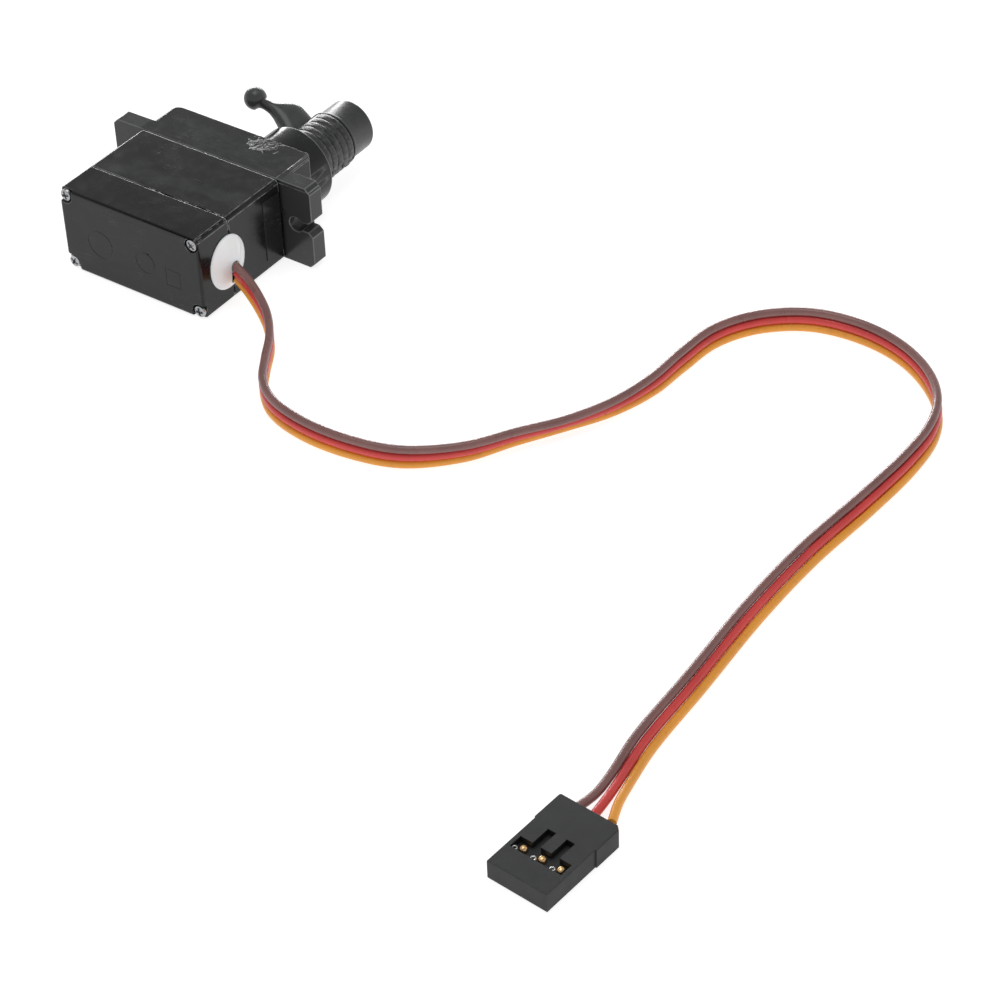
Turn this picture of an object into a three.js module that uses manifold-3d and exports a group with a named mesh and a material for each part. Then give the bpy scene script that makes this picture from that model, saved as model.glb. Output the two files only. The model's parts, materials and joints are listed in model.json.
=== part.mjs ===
// Micro servo motor with a ring-spring servo saver horn and a three-wire lead.
//
// Frame: millimetres, +Z up. The servo lies on one broad side. The output shaft runs along +Y, the long
// side of the case along X. Pieces of the servo are laid out with y = 0 at the outer face of the bottom
// cover and z = 0 on the shaft axis, then moved by CASE_SHIFT so the case rests on z = 0. The lead and the
// plug are laid out directly on the surface z = 0.

import * as THREE from 'three';
import { mergeVertices } from 'three/addons/utils/BufferGeometryUtils.js';
import Module from 'manifold-3d';

const wasm = await Module();
wasm.setup();

// ---------------------------------------------------------------- driving dimensions, mm

// Case
const CASE_LENGTH = 23.7;
const CASE_WIDTH = 12.6;
const CASE_CORNER = 0.6;
const WALL = 0.9;
const SEAM = 0.06;
const COVER_END = 6.4;
const FLANGE_START = 17.1;
const FLANGE_END = 19.6;
const HOUSING_END = 24.3;
const BOSS_END = 29.1;
const BOSS_RADIUS = 5.8;
const HALF_LENGTH = CASE_LENGTH / 2;
const HALF_WIDTH = CASE_WIDTH / 2;

// Mounting ears
const EAR_REACH = 5.1;
const EAR_CHAMFER = 0.8;
const EAR_HOLE_X = 14.2;
const EAR_HOLE_RADIUS = 1.1;
const EAR_SLOT = 1.3;

// Case screws, one in each corner; three heads sit in open corner notches, the fourth in a round pocket
const SCREW_INSET = 1.0;
const POCKET_INSET = 1.16;
const POCKET_RADIUS = 1.0;
const SCREW_HEAD_RADIUS = 0.85;
const SCREW_SHANK_RADIUS = 0.4;
const SCREW_NOTCH = 1.12;
const SCREW_NOTCH_DEPTH = 0.62;
const SCREW_TIP = 21.5;
const POST = 1.85;

// Gear train: every axis lies on z = 0, in one row along X
const OUTPUT_X = 5.55;
const LAYSHAFT_X = 0.3;
const MOTOR_X = -5.2;
const STAGES = {
  motor: { pinion: 10, wheel: 34, module: 0.25 },
  first: { pinion: 10, wheel: 32, module: 0.25 },
  second: { pinion: 9, wheel: 26, module: 0.3 },
  third: { pinion: 9, wheel: 21, module: 0.35 },
};
const PROFILE_SHIFT = 0.45;
const BACKLASH = 0.05;
const PRESSURE_ANGLE = THREE.MathUtils.degToRad(20);
const LAYERS = [[17.4, 18.4], [18.7, 19.7], [20.0, 21.2], [21.5, 22.8]];
const LAYSHAFT_RADIUS = 0.5;
const STUB_RADIUS = 0.65;
const JOURNAL_RADIUS = 2.42;
const SPLINE_RADIUS = 2.25;
const SPLINE_TEETH = 21;
const SPLINE_END = 32.3;
const DECK_START = 15.8;
const DECK_END = 16.9;

// Servo saver horn, measured along Y from the top of the boss
const HORN_FLANGE = [0.25, 0.95];
const HUB_RADIUS = 2.95;
const HUB_END = 10.0;
const SLEEVE_RADIUS = 3.42;
const SLEEVE = [1.05, 7.1];
const RING_COUNT = 5;
const RING_START = 1.15;
const RING_PITCH = 1.2;
const RING_HEIGHT = 0.95;
const RING_RADII = [3.48, 4.15];
const RING_GAP = 42;
const CAP = [7.2, 12.1];
const CAP_RADIUS = 3.8;
const ARM_ANGLE = 150;
const BALL_REACH = 11.2;
const BALL_HEIGHT = 3.2;
const BALL_RADIUS = 1.54;
const ARM_THICKNESS = 2.4;

// Grommet in the end wall, across the seam between the cover and the middle case
const GROMMET = { y: 5.4, z: 0, disc: 3.45, neck: 2.8, tall: 1.16, slotY: 6.1, slotZ: -1.7 };

// Lead: three bonded wires, brown uppermost. Each row of the route is the middle wire's x, y, z, the
// ribbon's lean from upright in degrees, and the spacing of the wires.
const WIRE_RADIUS = 0.5;
const WIRE_SIDES = 8;
const WIRE_STEPS = 64;
const WIRE_COLOURS = { lead_brown: [1, '#7c5f60'], lead_red: [0, '#d94a4f'], lead_orange: [-1, '#f0a43c'] };
const ROUTE = [
  [12.75, -14.55, 4.5, 0, 1.1],
  [15.4, -15.6, 4.05, -4, 1.1],
  [18.2, -17.0, 3.4, -5, 1.1],
  [21.1, -18.9, 2.65, -3, 1.15],
  [23.8, -21.8, 2.05, 0, 1.15],
  [26.2, -25.85, 1.75, 0, 1.1],
  [28.7, -29.45, 1.7, 0, 1.1],
  [32.2, -32.05, 1.67, -4, 1.15],
  [37.7, -33.45, 1.65, -6, 1.15],
  [44.7, -33.35, 1.63, -7, 1.1],
  [51.7, -31.45, 1.63, -3, 1.1],
  [57.7, -26.45, 1.62, 8, 1.1],
  [61.4, -20.45, 1.58, 18, 1.1],
  [65.1, -14.75, 1.53, 25, 1.1],
  [68.2, -8.85, 1.6, 12, 1.1],
  [69.9, -2.45, 1.63, -5, 1.1],
  [70.3, 4.15, 1.6, -14, 1.1],
  [71.1, 10.65, 1.6, -14, 1.1],
  [74.2, 16.15, 1.61, -12, 1.1],
  [79.7, 20.25, 1.61, -12, 1.1],
  [86.7, 21.45, 1.6, -14, 1.1],
  [93.2, 20.15, 1.62, -10, 1.1],
  [98.7, 16.85, 1.64, -5, 1.15],
  [102.3, 12.65, 1.65, 5, 1.15],
  [104.1, 7.65, 1.57, 20, 1.1],
  [104.5, 1.15, 1.46, 33, 1.1],
  [103.9, -7.85, 1.32, 45, 1.1],
  [102.7, -19.85, 1.18, 55, 1.1],
  [102.5, -31.85, 1.1, 60, 1.1],
  [103.2, -45.85, 1.07, 62, 1.1],
  [103.6, -56.85, 1.0, 68, 1.12],
  [104.55, -63.05, 1.1, 80, 1.14],
  [105.1, -66.6, 1.3, 88, 1.4],
  [105.35, -69.6, 1.35, 90, 2.2],
];

// Plug, three ways at the usual pitch; x runs from its mating face towards the wires
const PLUG_FRONT = [104.3, -82.55];
const PLUG_YAW = 85.2;
const PLUG_LENGTH = 12.5;
const PLUG_STEP = 8.1;
const PLUG_NOSE = { width: 8.05, height: 2.4 };
const PLUG_GRIP = { width: 8.4, height: 2.75 };
const PLUG_PITCH = 2.54;
const PLUG_WINDOW = [3.6, 5.0];
const PLUG_TONGUE = 1.5;
const PLUG_SOCKET = 1.3;

// Whole servo, from the cover to the end of the cap, is centred on y = 0
const CASE_SHIFT = [0, -(BOSS_END + CAP[1]) / 2, HALF_WIDTH];

// ---------------------------------------------------------------- solids

// Turns three.js geometry into a solid that can be joined and cut.
function solid(geometry) {
  geometry.deleteAttribute('normal');
  geometry.deleteAttribute('uv');
  const welded = mergeVertices(geometry, 1e-4);
  return new wasm.Manifold(new wasm.Mesh({
    numProp: 3,
    vertProperties: new Float32Array(welded.attributes.position.array),
    triVerts: new Uint32Array(welded.index.array),
  }));
}

function box(x0, x1, y0, y1, z0, z1) {
  const geometry = new THREE.BoxGeometry(x1 - x0, y1 - y0, z1 - z0);
  geometry.translate((x0 + x1) / 2, (y0 + y1) / 2, (z0 + z1) / 2);
  return solid(geometry);
}

// Round rod along Y.
function rod(x, z, radius, y0, y1, sides = 28) {
  const geometry = new THREE.CylinderGeometry(radius, radius, y1 - y0, sides);
  geometry.translate(x, (y0 + y1) / 2, z);
  return solid(geometry);
}

// Round rod along X.
function rodX(y, z, radius, x0, x1, sides = 36) {
  const geometry = new THREE.CylinderGeometry(radius, radius, x1 - x0, sides);
  geometry.rotateZ(Math.PI / 2);
  geometry.translate((x0 + x1) / 2, y, z);
  return solid(geometry);
}

// Prism along Y from an outline of [x, z] points.
function prism(outline, y0, y1) {
  const shape = new THREE.Shape(outline.map(([x, z]) => new THREE.Vector2(x, -z)));
  const geometry = new THREE.ExtrudeGeometry(shape, { depth: y1 - y0, bevelEnabled: false });
  geometry.rotateX(-Math.PI / 2);
  geometry.translate(0, y0, 0);
  return solid(geometry);
}

// Prism along Z from an outline of [x, y] points.
function prismZ(outline, z0, z1) {
  const shape = new THREE.Shape(outline.map(([x, y]) => new THREE.Vector2(x, y)));
  const geometry = new THREE.ExtrudeGeometry(shape, { depth: z1 - z0, bevelEnabled: false });
  geometry.translate(0, 0, z0);
  return solid(geometry);
}

// Solid of revolution about the Y axis through (x, z), from a profile of [radius, y] points.
function turned(x, z, profile, sides = 32) {
  const geometry = new THREE.LatheGeometry(profile.map(([r, y]) => new THREE.Vector2(r, y)), sides);
  geometry.translate(x, 0, z);
  return solid(geometry);
}

function joined(parts) {
  return parts.reduce((whole, part) => whole.add(part));
}

function cut(whole, tools) {
  return tools.reduce((rest, tool) => rest.subtract(tool), whole);
}

// Outline of a rectangle centred on the axis, with rounded corners.
function roundedRectangle(halfX, halfZ, radius, steps = 3) {
  const outline = [];
  const centres = [[1, 1, 0], [-1, 1, 90], [-1, -1, 180], [1, -1, 270]];
  for (const [sx, sz, start] of centres) {
    for (let i = 0; i <= steps; i += 1) {
      const angle = THREE.MathUtils.degToRad(start + (90 * i) / steps);
      outline.push([
        sx * (halfX - radius) + radius * Math.cos(angle),
        sz * (halfZ - radius) + radius * Math.sin(angle),
      ]);
    }
  }
  return outline;
}

// Outline of part of a ring, between two angles in degrees.
function ringSector(inner, outer, from, to, steps) {
  const at = (radius, i) => {
    const angle = THREE.MathUtils.degToRad(from + ((to - from) * i) / steps);
    return [radius * Math.cos(angle), radius * Math.sin(angle)];
  };
  const outline = [];
  for (let i = 0; i <= steps; i += 1) outline.push(at(outer, i));
  for (let i = steps; i >= 0; i -= 1) outline.push(at(inner, i));
  return outline;
}

// ---------------------------------------------------------------- gears

// Involute gear outline, with a tooth centred on the angle `phase`.
function gearOutline(teeth, module, shift, phase) {
  const pitch = (module * teeth) / 2;
  const base = pitch * Math.cos(PRESSURE_ANGLE);
  const root = pitch - module * (1.25 - shift);
  const tip = pitch + module * (0.9 + shift);
  const involute = (angle) => Math.tan(angle) - angle;
  const atPitch = (Math.PI / 2 + 2 * shift * Math.tan(PRESSURE_ANGLE)) / teeth - BACKLASH / (2 * pitch);
  const halfWidth = (radius) => {
    const angle = Math.acos(base / Math.max(radius, base));
    return atPitch + involute(PRESSURE_ANGLE) - involute(angle);
  };
  const radii = [root, pitch + (tip - root) * 0.05, tip];
  const outline = [];
  for (let tooth = 0; tooth < teeth; tooth += 1) {
    const centre = phase + (2 * Math.PI * tooth) / teeth;
    for (const radius of radii) {
      const angle = centre - halfWidth(radius);
      outline.push([radius * Math.cos(angle), radius * Math.sin(angle)]);
    }
    for (const radius of [...radii].reverse()) {
      const angle = centre + halfWidth(radius);
      outline.push([radius * Math.cos(angle), radius * Math.sin(angle)]);
    }
  }
  return outline;
}

function gear(x, teeth, module, shift, phase, [y0, y1]) {
  const outline = gearOutline(teeth, module, shift, phase);
  return prism(outline.map(([dx, z]) => [x + dx, z]), y0, y1);
}

// Wheel and smaller pinion on one hub, free to turn on a shaft through the bore.
function compoundGear(x, wheel, wheelPhase, wheelLayer, pinion, pinionPhase, pinionLayer, bore) {
  const body = joined([
    gear(x, wheel.wheel, wheel.module, -PROFILE_SHIFT, wheelPhase, wheelLayer),
    gear(x, pinion.pinion, pinion.module, PROFILE_SHIFT, pinionPhase, [wheelLayer[1], pinionLayer[1]]),
  ]);
  return body.subtract(rod(x, 0, bore, wheelLayer[0] - 1, pinionLayer[1] + 1, 16));
}

function firstGear() {
  const { motor, first } = STAGES;
  return compoundGear(LAYSHAFT_X, motor, Math.PI / motor.wheel, LAYERS[0], first, 0, LAYERS[1],
    LAYSHAFT_RADIUS + 0.06);
}

function secondGear() {
  const { first, second } = STAGES;
  return compoundGear(OUTPUT_X, first, Math.PI / first.wheel, LAYERS[1], second, Math.PI, LAYERS[2],
    STUB_RADIUS + 0.06);
}

function thirdGear() {
  const { second, third } = STAGES;
  return compoundGear(LAYSHAFT_X, second, Math.PI / second.wheel, LAYERS[2], third, 0, LAYERS[3],
    LAYSHAFT_RADIUS + 0.06);
}

function motorPinion() {
  const { motor } = STAGES;
  const body = gear(MOTOR_X, motor.pinion, motor.module, PROFILE_SHIFT, 0, LAYERS[0]);
  return body.subtract(rod(MOTOR_X, 0, 0.52, 10, 30, 16));
}

// Output gear with its stub, journal, splined end and screw hole.
function outputGear() {
  const { third } = STAGES;
  const spline = gearOutline(SPLINE_TEETH, (2 * SPLINE_RADIUS) / (SPLINE_TEETH + 2), 0, 0);
  const body = joined([
    gear(OUTPUT_X, third.wheel, third.module, -PROFILE_SHIFT, 0, LAYERS[3]),
    rod(OUTPUT_X, 0, STUB_RADIUS, DECK_START - 1.3, LAYERS[3][0] + 0.1, 16),
    rod(OUTPUT_X, 0, JOURNAL_RADIUS, LAYERS[3][1], BOSS_END - 0.2),
    prism(spline.map(([dx, z]) => [OUTPUT_X + dx, z]), BOSS_END - 0.3, SPLINE_END),
  ]);
  return body.subtract(rod(OUTPUT_X, 0, 0.88, SPLINE_END - 4.5, SPLINE_END + 1, 16));
}

// ---------------------------------------------------------------- case

// The four screw positions as [x, z]; the second one is the screw in the round pocket.
function screwPlaces() {
  const x = HALF_LENGTH - SCREW_INSET;
  const z = HALF_WIDTH - SCREW_INSET;
  return [[-x, z], [HALF_LENGTH - POCKET_INSET, HALF_WIDTH - POCKET_INSET], [x, -z], [-x, -z]];
}

// Recesses for the screw heads in the cover's end face.
function screwRecesses() {
  return screwPlaces().map(([x, z], i) => {
    if (i === 1) return rod(x, z, POCKET_RADIUS, -1, SCREW_NOTCH_DEPTH, 24);
    const far = 3;
    const across = box(Math.min(x, x * far), Math.max(x, x * far), -1, SCREW_NOTCH_DEPTH,
      z - SCREW_NOTCH, z + SCREW_NOTCH);
    const along = box(x - SCREW_NOTCH, x + SCREW_NOTCH, -1, SCREW_NOTCH_DEPTH,
      Math.min(z, z * far), Math.max(z, z * far));
    return joined([rod(x, z, SCREW_NOTCH, -1, SCREW_NOTCH_DEPTH, 24), across, along]);
  });
}

// Inside of the case between two heights, with a square post left in each corner for its screw.
function cavity(y0, y1) {
  const x = HALF_LENGTH - WALL;
  const z = HALF_WIDTH - WALL;
  const posts = screwPlaces().map(([px, pz]) => {
    const cx = Math.sign(px) * (x - POST / 2 + 0.5);
    const cz = Math.sign(pz) * (z - POST / 2 + 0.5);
    const half = POST / 2 + 0.5;
    return box(cx - half, cx + half, y0 - 1, y1 + 1, cz - half, cz + half);
  });
  return cut(box(-x, x, y0, y1, -z, z), posts);
}

function screwHoles(y0, y1, radius) {
  return screwPlaces().map(([x, z]) => rod(x, z, radius, y0, y1, 16));
}

function grommetHole() {
  const hole = rodX(0, 0, GROMMET.neck + 0.08, HALF_LENGTH - 2, HALF_LENGTH + 1);
  return hole.scale([1, 1, GROMMET.tall]).translate([0, GROMMET.y, GROMMET.z]);
}

// Cover with a bevelled end face, open screw notches in its corners and shallow moulded relief.
function bottomCover() {
  const bevel = 0.4;
  const outline = roundedRectangle(HALF_LENGTH - bevel, HALF_WIDTH - bevel, CASE_CORNER - bevel);
  const shape = new THREE.Shape(outline.map(([x, z]) => new THREE.Vector2(x, -z)));
  const geometry = new THREE.ExtrudeGeometry(shape, {
    depth: COVER_END + 1,
    bevelSize: bevel,
    bevelThickness: bevel,
    bevelSegments: 2,
  });
  geometry.rotateX(-Math.PI / 2);
  geometry.translate(0, bevel, 0);
  const block = solid(geometry).intersect(
    box(-HALF_LENGTH - 1, HALF_LENGTH + 1, 0, COVER_END - SEAM / 2, -HALF_WIDTH - 1, HALF_WIDTH + 1),
  );
  return cut(block, [
    cavity(1.1, COVER_END + 1),
    ...screwHoles(-1, COVER_END + 1, SCREW_SHANK_RADIUS + 0.08),
    ...screwRecesses(),
    grommetHole(),
    ...coverRelief(),
  ]);
}

// Plain mould marks on the cover's end face: two round ejector rings and a small rectangular frame.
function coverRelief() {
  const depth = 0.12;
  const line = 0.25;
  const rings = [[-5.4, 2.2], [2.4, 1.7]].map(([x, radius]) => {
    return rod(x, -0.5, radius, -1, depth, 32).subtract(rod(x, -0.5, radius - line, -2, depth + 1, 32));
  });
  const [x0, x1, z0, z1] = [5.8, 8.4, -2.7, 0.1];
  const frame = box(x0, x1, -1, depth, z0, z1)
    .subtract(box(x0 + line, x1 - line, -2, depth + 1, z0 + line, z1 - line));
  return [...rings, frame];
}

// Middle case: tube around the motor, closed towards the gears by a deck with shaft holes.
function middleCase() {
  const start = COVER_END + SEAM / 2;
  const end = FLANGE_START - SEAM / 2;
  const tube = prism(roundedRectangle(HALF_LENGTH, HALF_WIDTH, CASE_CORNER), start, end);
  const pad = box(HALF_LENGTH - 0.1, HALF_LENGTH + 0.12, 13.4, end - 0.3, -4.6, 4.6);
  return cut(tube.add(pad), [
    cavity(start - 1, DECK_START),
    cavity(DECK_END, end + 1),
    ...screwHoles(start - 1, end + 1, SCREW_SHANK_RADIUS + 0.08),
    rod(MOTOR_X, 0, 1.66, DECK_START - 1, DECK_END + 1, 20),
    rod(LAYSHAFT_X, 0, LAYSHAFT_RADIUS + 0.02, DECK_START + 0.3, DECK_END + 1, 16),
    rod(OUTPUT_X, 0, 1.3, DECK_START - 1, DECK_END + 1, 20),
    grommetHole(),
  ]);
}

// Mounting flange outline with an open keyhole slot in each ear.
function flange() {
  const reach = HALF_LENGTH + EAR_REACH;
  const c = EAR_CHAMFER;
  const outline = [
    [reach, HALF_WIDTH - c], [reach - c, HALF_WIDTH], [c - reach, HALF_WIDTH], [-reach, HALF_WIDTH - c],
    [-reach, c - HALF_WIDTH], [c - reach, -HALF_WIDTH], [reach - c, -HALF_WIDTH], [reach, c - HALF_WIDTH],
  ];
  const plate = prism(outline, FLANGE_START + SEAM / 2, FLANGE_END);
  const slots = [1, -1].flatMap((side) => {
    const half = EAR_SLOT / 2;
    const mouth = [
      [EAR_HOLE_X, half], [reach - 0.7, half], [reach + 0.1, half + 0.75],
      [reach + 0.1, -half - 0.75], [reach - 0.7, -half], [EAR_HOLE_X, -half],
    ];
    return [
      rod(side * EAR_HOLE_X, 0, EAR_HOLE_RADIUS, FLANGE_START - 1, FLANGE_END + 1, 24),
      prism(mouth.map(([x, z]) => [side * x, z]), FLANGE_START - 1, FLANGE_END + 1),
    ];
  });
  return cut(plate, slots);
}

// Gear housing: rounded at its far left edge, chamfered at its far right edge.
function housingBlock() {
  const start = FLANGE_START + SEAM / 2;
  const radius = 1.7;
  const side = [[HALF_LENGTH, start], [HALF_LENGTH, HOUSING_END - 0.5], [HALF_LENGTH - 0.5, HOUSING_END]];
  for (let i = 0; i <= 6; i += 1) {
    const angle = Math.PI / 2 + (Math.PI / 2) * (i / 6);
    side.push([
      -HALF_LENGTH + radius + radius * Math.cos(angle),
      HOUSING_END - radius + radius * Math.sin(angle),
    ]);
  }
  side.push([-HALF_LENGTH, start]);
  const across = prism(roundedRectangle(HALF_LENGTH, HALF_WIDTH, CASE_CORNER), start, HOUSING_END);
  return across.intersect(prismZ(side, -HALF_WIDTH - 1, HALF_WIDTH + 1));
}

function topCase() {
  const boss = turned(OUTPUT_X, 0, [
    [0, HOUSING_END - 1], [BOSS_RADIUS, HOUSING_END - 1], [BOSS_RADIUS, BOSS_END - 0.25],
    [BOSS_RADIUS - 0.25, BOSS_END], [0, BOSS_END],
  ], 44);
  return cut(joined([flange(), housingBlock(), boss]), [
    cavity(FLANGE_START - 1, HOUSING_END - 1.05),
    rod(OUTPUT_X, 0, 3.65, HOUSING_END - 2, BOSS_END - 0.5),
    rod(OUTPUT_X, 0, 2.75, BOSS_END - 1, BOSS_END + 1),
    rod(LAYSHAFT_X, 0, LAYSHAFT_RADIUS + 0.02, HOUSING_END - 2, HOUSING_END - 0.55, 16),
    ...screwHoles(FLANGE_START - 1, SCREW_TIP + 0.3, SCREW_SHANK_RADIUS + 0.02),
  ]);
}

// Pan-head screw with a cross recess, its head towards -Y.
function caseScrew(x, z) {
  const r = SCREW_HEAD_RADIUS;
  const head = SCREW_NOTCH_DEPTH;
  const body = turned(x, z, [
    [0, 0], [r * 0.6, 0.03], [r, 0.3], [r, head - 0.02], [SCREW_SHANK_RADIUS, head - 0.02],
    [SCREW_SHANK_RADIUS, SCREW_TIP - 0.5], [0.12, SCREW_TIP], [0, SCREW_TIP],
  ], 16);
  const long = 0.52;
  const slot = 0.11;
  return cut(body, [
    box(x - long, x + long, -1, 0.3, z - slot, z + slot),
    box(x - slot, x + slot, -1, 0.3, z - long, z + long),
  ]);
}

// Push-in oval grommet: a shallow dome outside, a neck through the wall, and a slot for the lead.
function grommet() {
  const face = HALF_LENGTH + 0.02;
  const inner = HALF_LENGTH - WALL - 0.15;
  const { disc, neck } = GROMMET;
  const profile = [
    [0, inner], [neck, inner], [neck, face], [disc, face], [disc, face + 0.16], [disc - 0.18, face + 0.32],
    [disc * 0.6, face + 0.5], [disc * 0.3, face + 0.56], [0, face + 0.58],
  ];
  const geometry = new THREE.LatheGeometry(profile.map(([r, x]) => new THREE.Vector2(r, x)), 36);
  geometry.rotateZ(-Math.PI / 2);
  geometry.scale(1, 1, GROMMET.tall);
  geometry.translate(0, GROMMET.y, GROMMET.z);
  const { slotY, slotZ } = GROMMET;
  return solid(geometry).subtract(
    box(inner - 1, face + 2, slotY - 0.68, slotY + 0.68, slotZ - 1.75, slotZ + 1.75),
  );
}

// ---------------------------------------------------------------- motor, potentiometer and board

function motorCan() {
  const body = turned(MOTOR_X, 0, [
    [0, 5.0], [4.6, 5.0], [4.6, 15.2], [4.3, 15.5], [1.6, 15.5], [1.6, 16.3], [0, 16.3],
  ], 28);
  return body.subtract(rod(MOTOR_X, 0, 0.56, 12.0, 17, 16));
}

function motorEndCap() {
  return turned(MOTOR_X, 0, [[0, 4.1], [1.3, 4.1], [1.3, 4.4], [4.2, 4.4], [4.2, 4.95], [0, 4.95]], 24);
}

function motorTerminal(side) {
  return box(MOTOR_X - 0.7, MOTOR_X + 0.7, 3.45, 4.35, side * 2.9 - 0.15, side * 2.9 + 0.15);
}

function rotorShaft() {
  return rod(MOTOR_X, 0, 0.5, 12.3, LAYERS[0][1] + 0.15, 16);
}

function layshaft() {
  return rod(LAYSHAFT_X, 0, LAYSHAFT_RADIUS, DECK_START + 0.35, HOUSING_END - 0.6, 16);
}

function outputBushing() {
  const body = rod(OUTPUT_X, 0, 3.6, HOUSING_END - 1.0, BOSS_END - 0.55);
  return body.subtract(rod(OUTPUT_X, 0, JOURNAL_RADIUS + 0.07, 20, 32));
}

function potentiometerBody() {
  const body = turned(OUTPUT_X, 0, [
    [0, 9.8], [4.2, 9.8], [4.2, 14.0], [3.9, 14.3], [2.4, 14.3], [2.4, 15.6], [0, 15.6],
  ], 24);
  return body.subtract(rod(OUTPUT_X, 0, 1.28, 11.5, 17, 20));
}

// Wiper shaft of the potentiometer, with a socket for the output gear's stub.
function potentiometerShaft() {
  const body = rod(OUTPUT_X, 0, 1.2, 11.9, DECK_END - 0.2, 20);
  return body.subtract(rod(OUTPUT_X, 0, STUB_RADIUS + 0.03, DECK_START - 1.5, DECK_END + 1, 16));
}

function potentiometerPin(index) {
  const x = OUTPUT_X + (index - 1) * 2.5;
  return box(x - 0.3, x + 0.3, 9.0, 9.75, -3.4, -3.1);
}

// Board with its corners cut back to clear the screw posts.
function circuitBoard() {
  return joined([box(-10.2, 10.2, 2.4, 3.2, -2.9, 2.9), box(-8.4, 8.4, 2.4, 3.2, -4.7, 4.7)]);
}

function controllerChip() {
  return box(1.6, 6.4, 3.22, 4.3, -2.0, 2.0);
}

function boardCapacitor() {
  return box(7.1, 8.5, 3.22, 4.6, -1.4, 1.4);
}

function driverChip(side) {
  return box(-1.6, 0.9, 3.22, 3.95, side * 2.6 - 1.2, side * 2.6 + 1.2);
}

// ---------------------------------------------------------------- servo saver horn

// Turns a solid made with the arm along +X to the arm's real direction about the output axis.
function turnToArm(part) {
  return part.rotate([0, -ARM_ANGLE, 0]).translate([OUTPUT_X, BOSS_END, 0]);
}

// Hub: splined drum with a flange, and two posts that stop the arm and hold the rings' ends.
function hornHub() {
  const [low, high] = HORN_FLANGE;
  const posts = [1, -1].map((side) => {
    const outline = ringSector(RING_RADII[0], RING_RADII[1] - 0.05, side * 32, side * 40, 2);
    return prism(side > 0 ? outline : outline.reverse(), high - 0.1, SLEEVE[1] - 0.25);
  });
  const body = joined([
    rod(0, 0, RING_RADII[1] - 0.05, low, high, 36),
    rod(0, 0, HUB_RADIUS, low, HUB_END),
    ...posts,
  ]);
  return turnToArm(cut(body, [
    rod(0, 0, SPLINE_RADIUS + 0.12, low - 1, SPLINE_END - BOSS_END + 0.2),
    rod(0, 0, 0.95, 0, HUB_END + 1, 16),
    rod(0, 0, 1.85, HUB_END - 1.4, HUB_END + 1, 20),
  ]));
}

// Side outline of the arm's fin as [distance from the axis, height].
const FIN = [
  [3.2, 1.3], [5.6, 1.7], [7.0, 2.2], [8.2, 2.65], [9.6, 2.75],
  [9.6, 4.05], [8.8, 4.4], [8.0, 5.3], [7.2, 6.45], [6.2, 7.1], [4.5, 7.1], [3.2, 7.1],
];

// Arm: a sleeve that turns on the hub, a tapering fin and a ball on a short neck.
function hornArm() {
  const bevel = 0.35;
  const shape = new THREE.Shape(FIN.map(([r, y]) => new THREE.Vector2(r, y)));
  const geometry = new THREE.ExtrudeGeometry(shape, {
    depth: ARM_THICKNESS - 2 * bevel,
    bevelSize: bevel,
    bevelOffset: -bevel,
    bevelThickness: bevel,
    bevelSegments: 2,
  });
  geometry.translate(0, 0, bevel - ARM_THICKNESS / 2);
  const neck = new THREE.LatheGeometry([
    [0, 7.2], [1.15, 7.2], [1.0, 8.2], [0.76, 9.2], [0.7, 9.8], [0.8, 10.3], [0, 10.9],
  ].map(([r, x]) => new THREE.Vector2(r, x)), 16);
  neck.rotateZ(-Math.PI / 2);
  neck.rotateZ(-0.04);
  neck.translate(0, 3.62, 0);
  const ball = new THREE.SphereGeometry(BALL_RADIUS, 18, 12);
  ball.translate(BALL_REACH, BALL_HEIGHT, 0);
  const [low, high] = SLEEVE;
  const body = joined([
    rod(0, 0, SLEEVE_RADIUS, low, high, 36),
    solid(geometry),
    solid(neck),
    solid(ball),
  ]);
  return turnToArm(body.subtract(rod(0, 0, HUB_RADIUS + 0.07, low - 1, high + 1)));
}

// Open spring ring; its ends bear on the hub's posts on both sides of the arm.
function saverRing(index) {
  const start = RING_START + index * RING_PITCH;
  const outline = ringSector(RING_RADII[0], RING_RADII[1], RING_GAP, 360 - RING_GAP, 28);
  return turnToArm(prism(outline, start, start + RING_HEIGHT));
}

// Cap that holds the rings, with a lip at its base and a hole for the screwdriver.
function hornCap() {
  const [low, high] = CAP;
  const body = turned(0, 0, [
    [0, low], [4.08, low], [4.08, low + 0.35], [CAP_RADIUS, low + 0.55], [CAP_RADIUS, high - 0.45],
    [CAP_RADIUS - 0.13, high - 0.13], [CAP_RADIUS - 0.45, high], [0, high],
  ], 40);
  return turnToArm(cut(body, [
    rod(0, 0, HUB_RADIUS + 0.03, low - 1, HUB_END + 0.05),
    rod(0, 0, 1.9, HUB_END - 1, high + 1),
  ]));
}

function hornScrew() {
  const seat = HUB_END - 1.4;
  const body = turned(0, 0, [
    [0, 0.6], [0.6, 0.6], [0.84, 1.0], [0.84, seat + 0.01], [1.7, seat + 0.01], [1.7, seat + 0.7],
    [1.35, seat + 1.05], [0, seat + 1.15],
  ], 16);
  return turnToArm(cut(body, [
    box(-1.0, 1.0, seat + 0.5, seat + 2, -0.2, 0.2),
    box(-0.2, 0.2, seat + 0.5, seat + 2, -1.0, 1.0),
  ]));
}

// ---------------------------------------------------------------- lead and plug

// Points of one wire: the route's middle wire, offset across the ribbon.
function wirePoints(side) {
  const middle = new THREE.CatmullRomCurve3(ROUTE.map(([x, y, z]) => new THREE.Vector3(x, y, z)));
  return ROUTE.map(([x, y, z, lean, spacing], i) => {
    const along = middle.getTangent(i / (ROUTE.length - 1));
    const right = new THREE.Vector3(along.y, -along.x, 0).normalize();
    const angle = THREE.MathUtils.degToRad(lean);
    const across = side * spacing;
    return new THREE.Vector3(
      x + across * Math.sin(angle) * right.x,
      y + across * Math.sin(angle) * right.y,
      z + across * Math.cos(angle),
    );
  });
}

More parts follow.
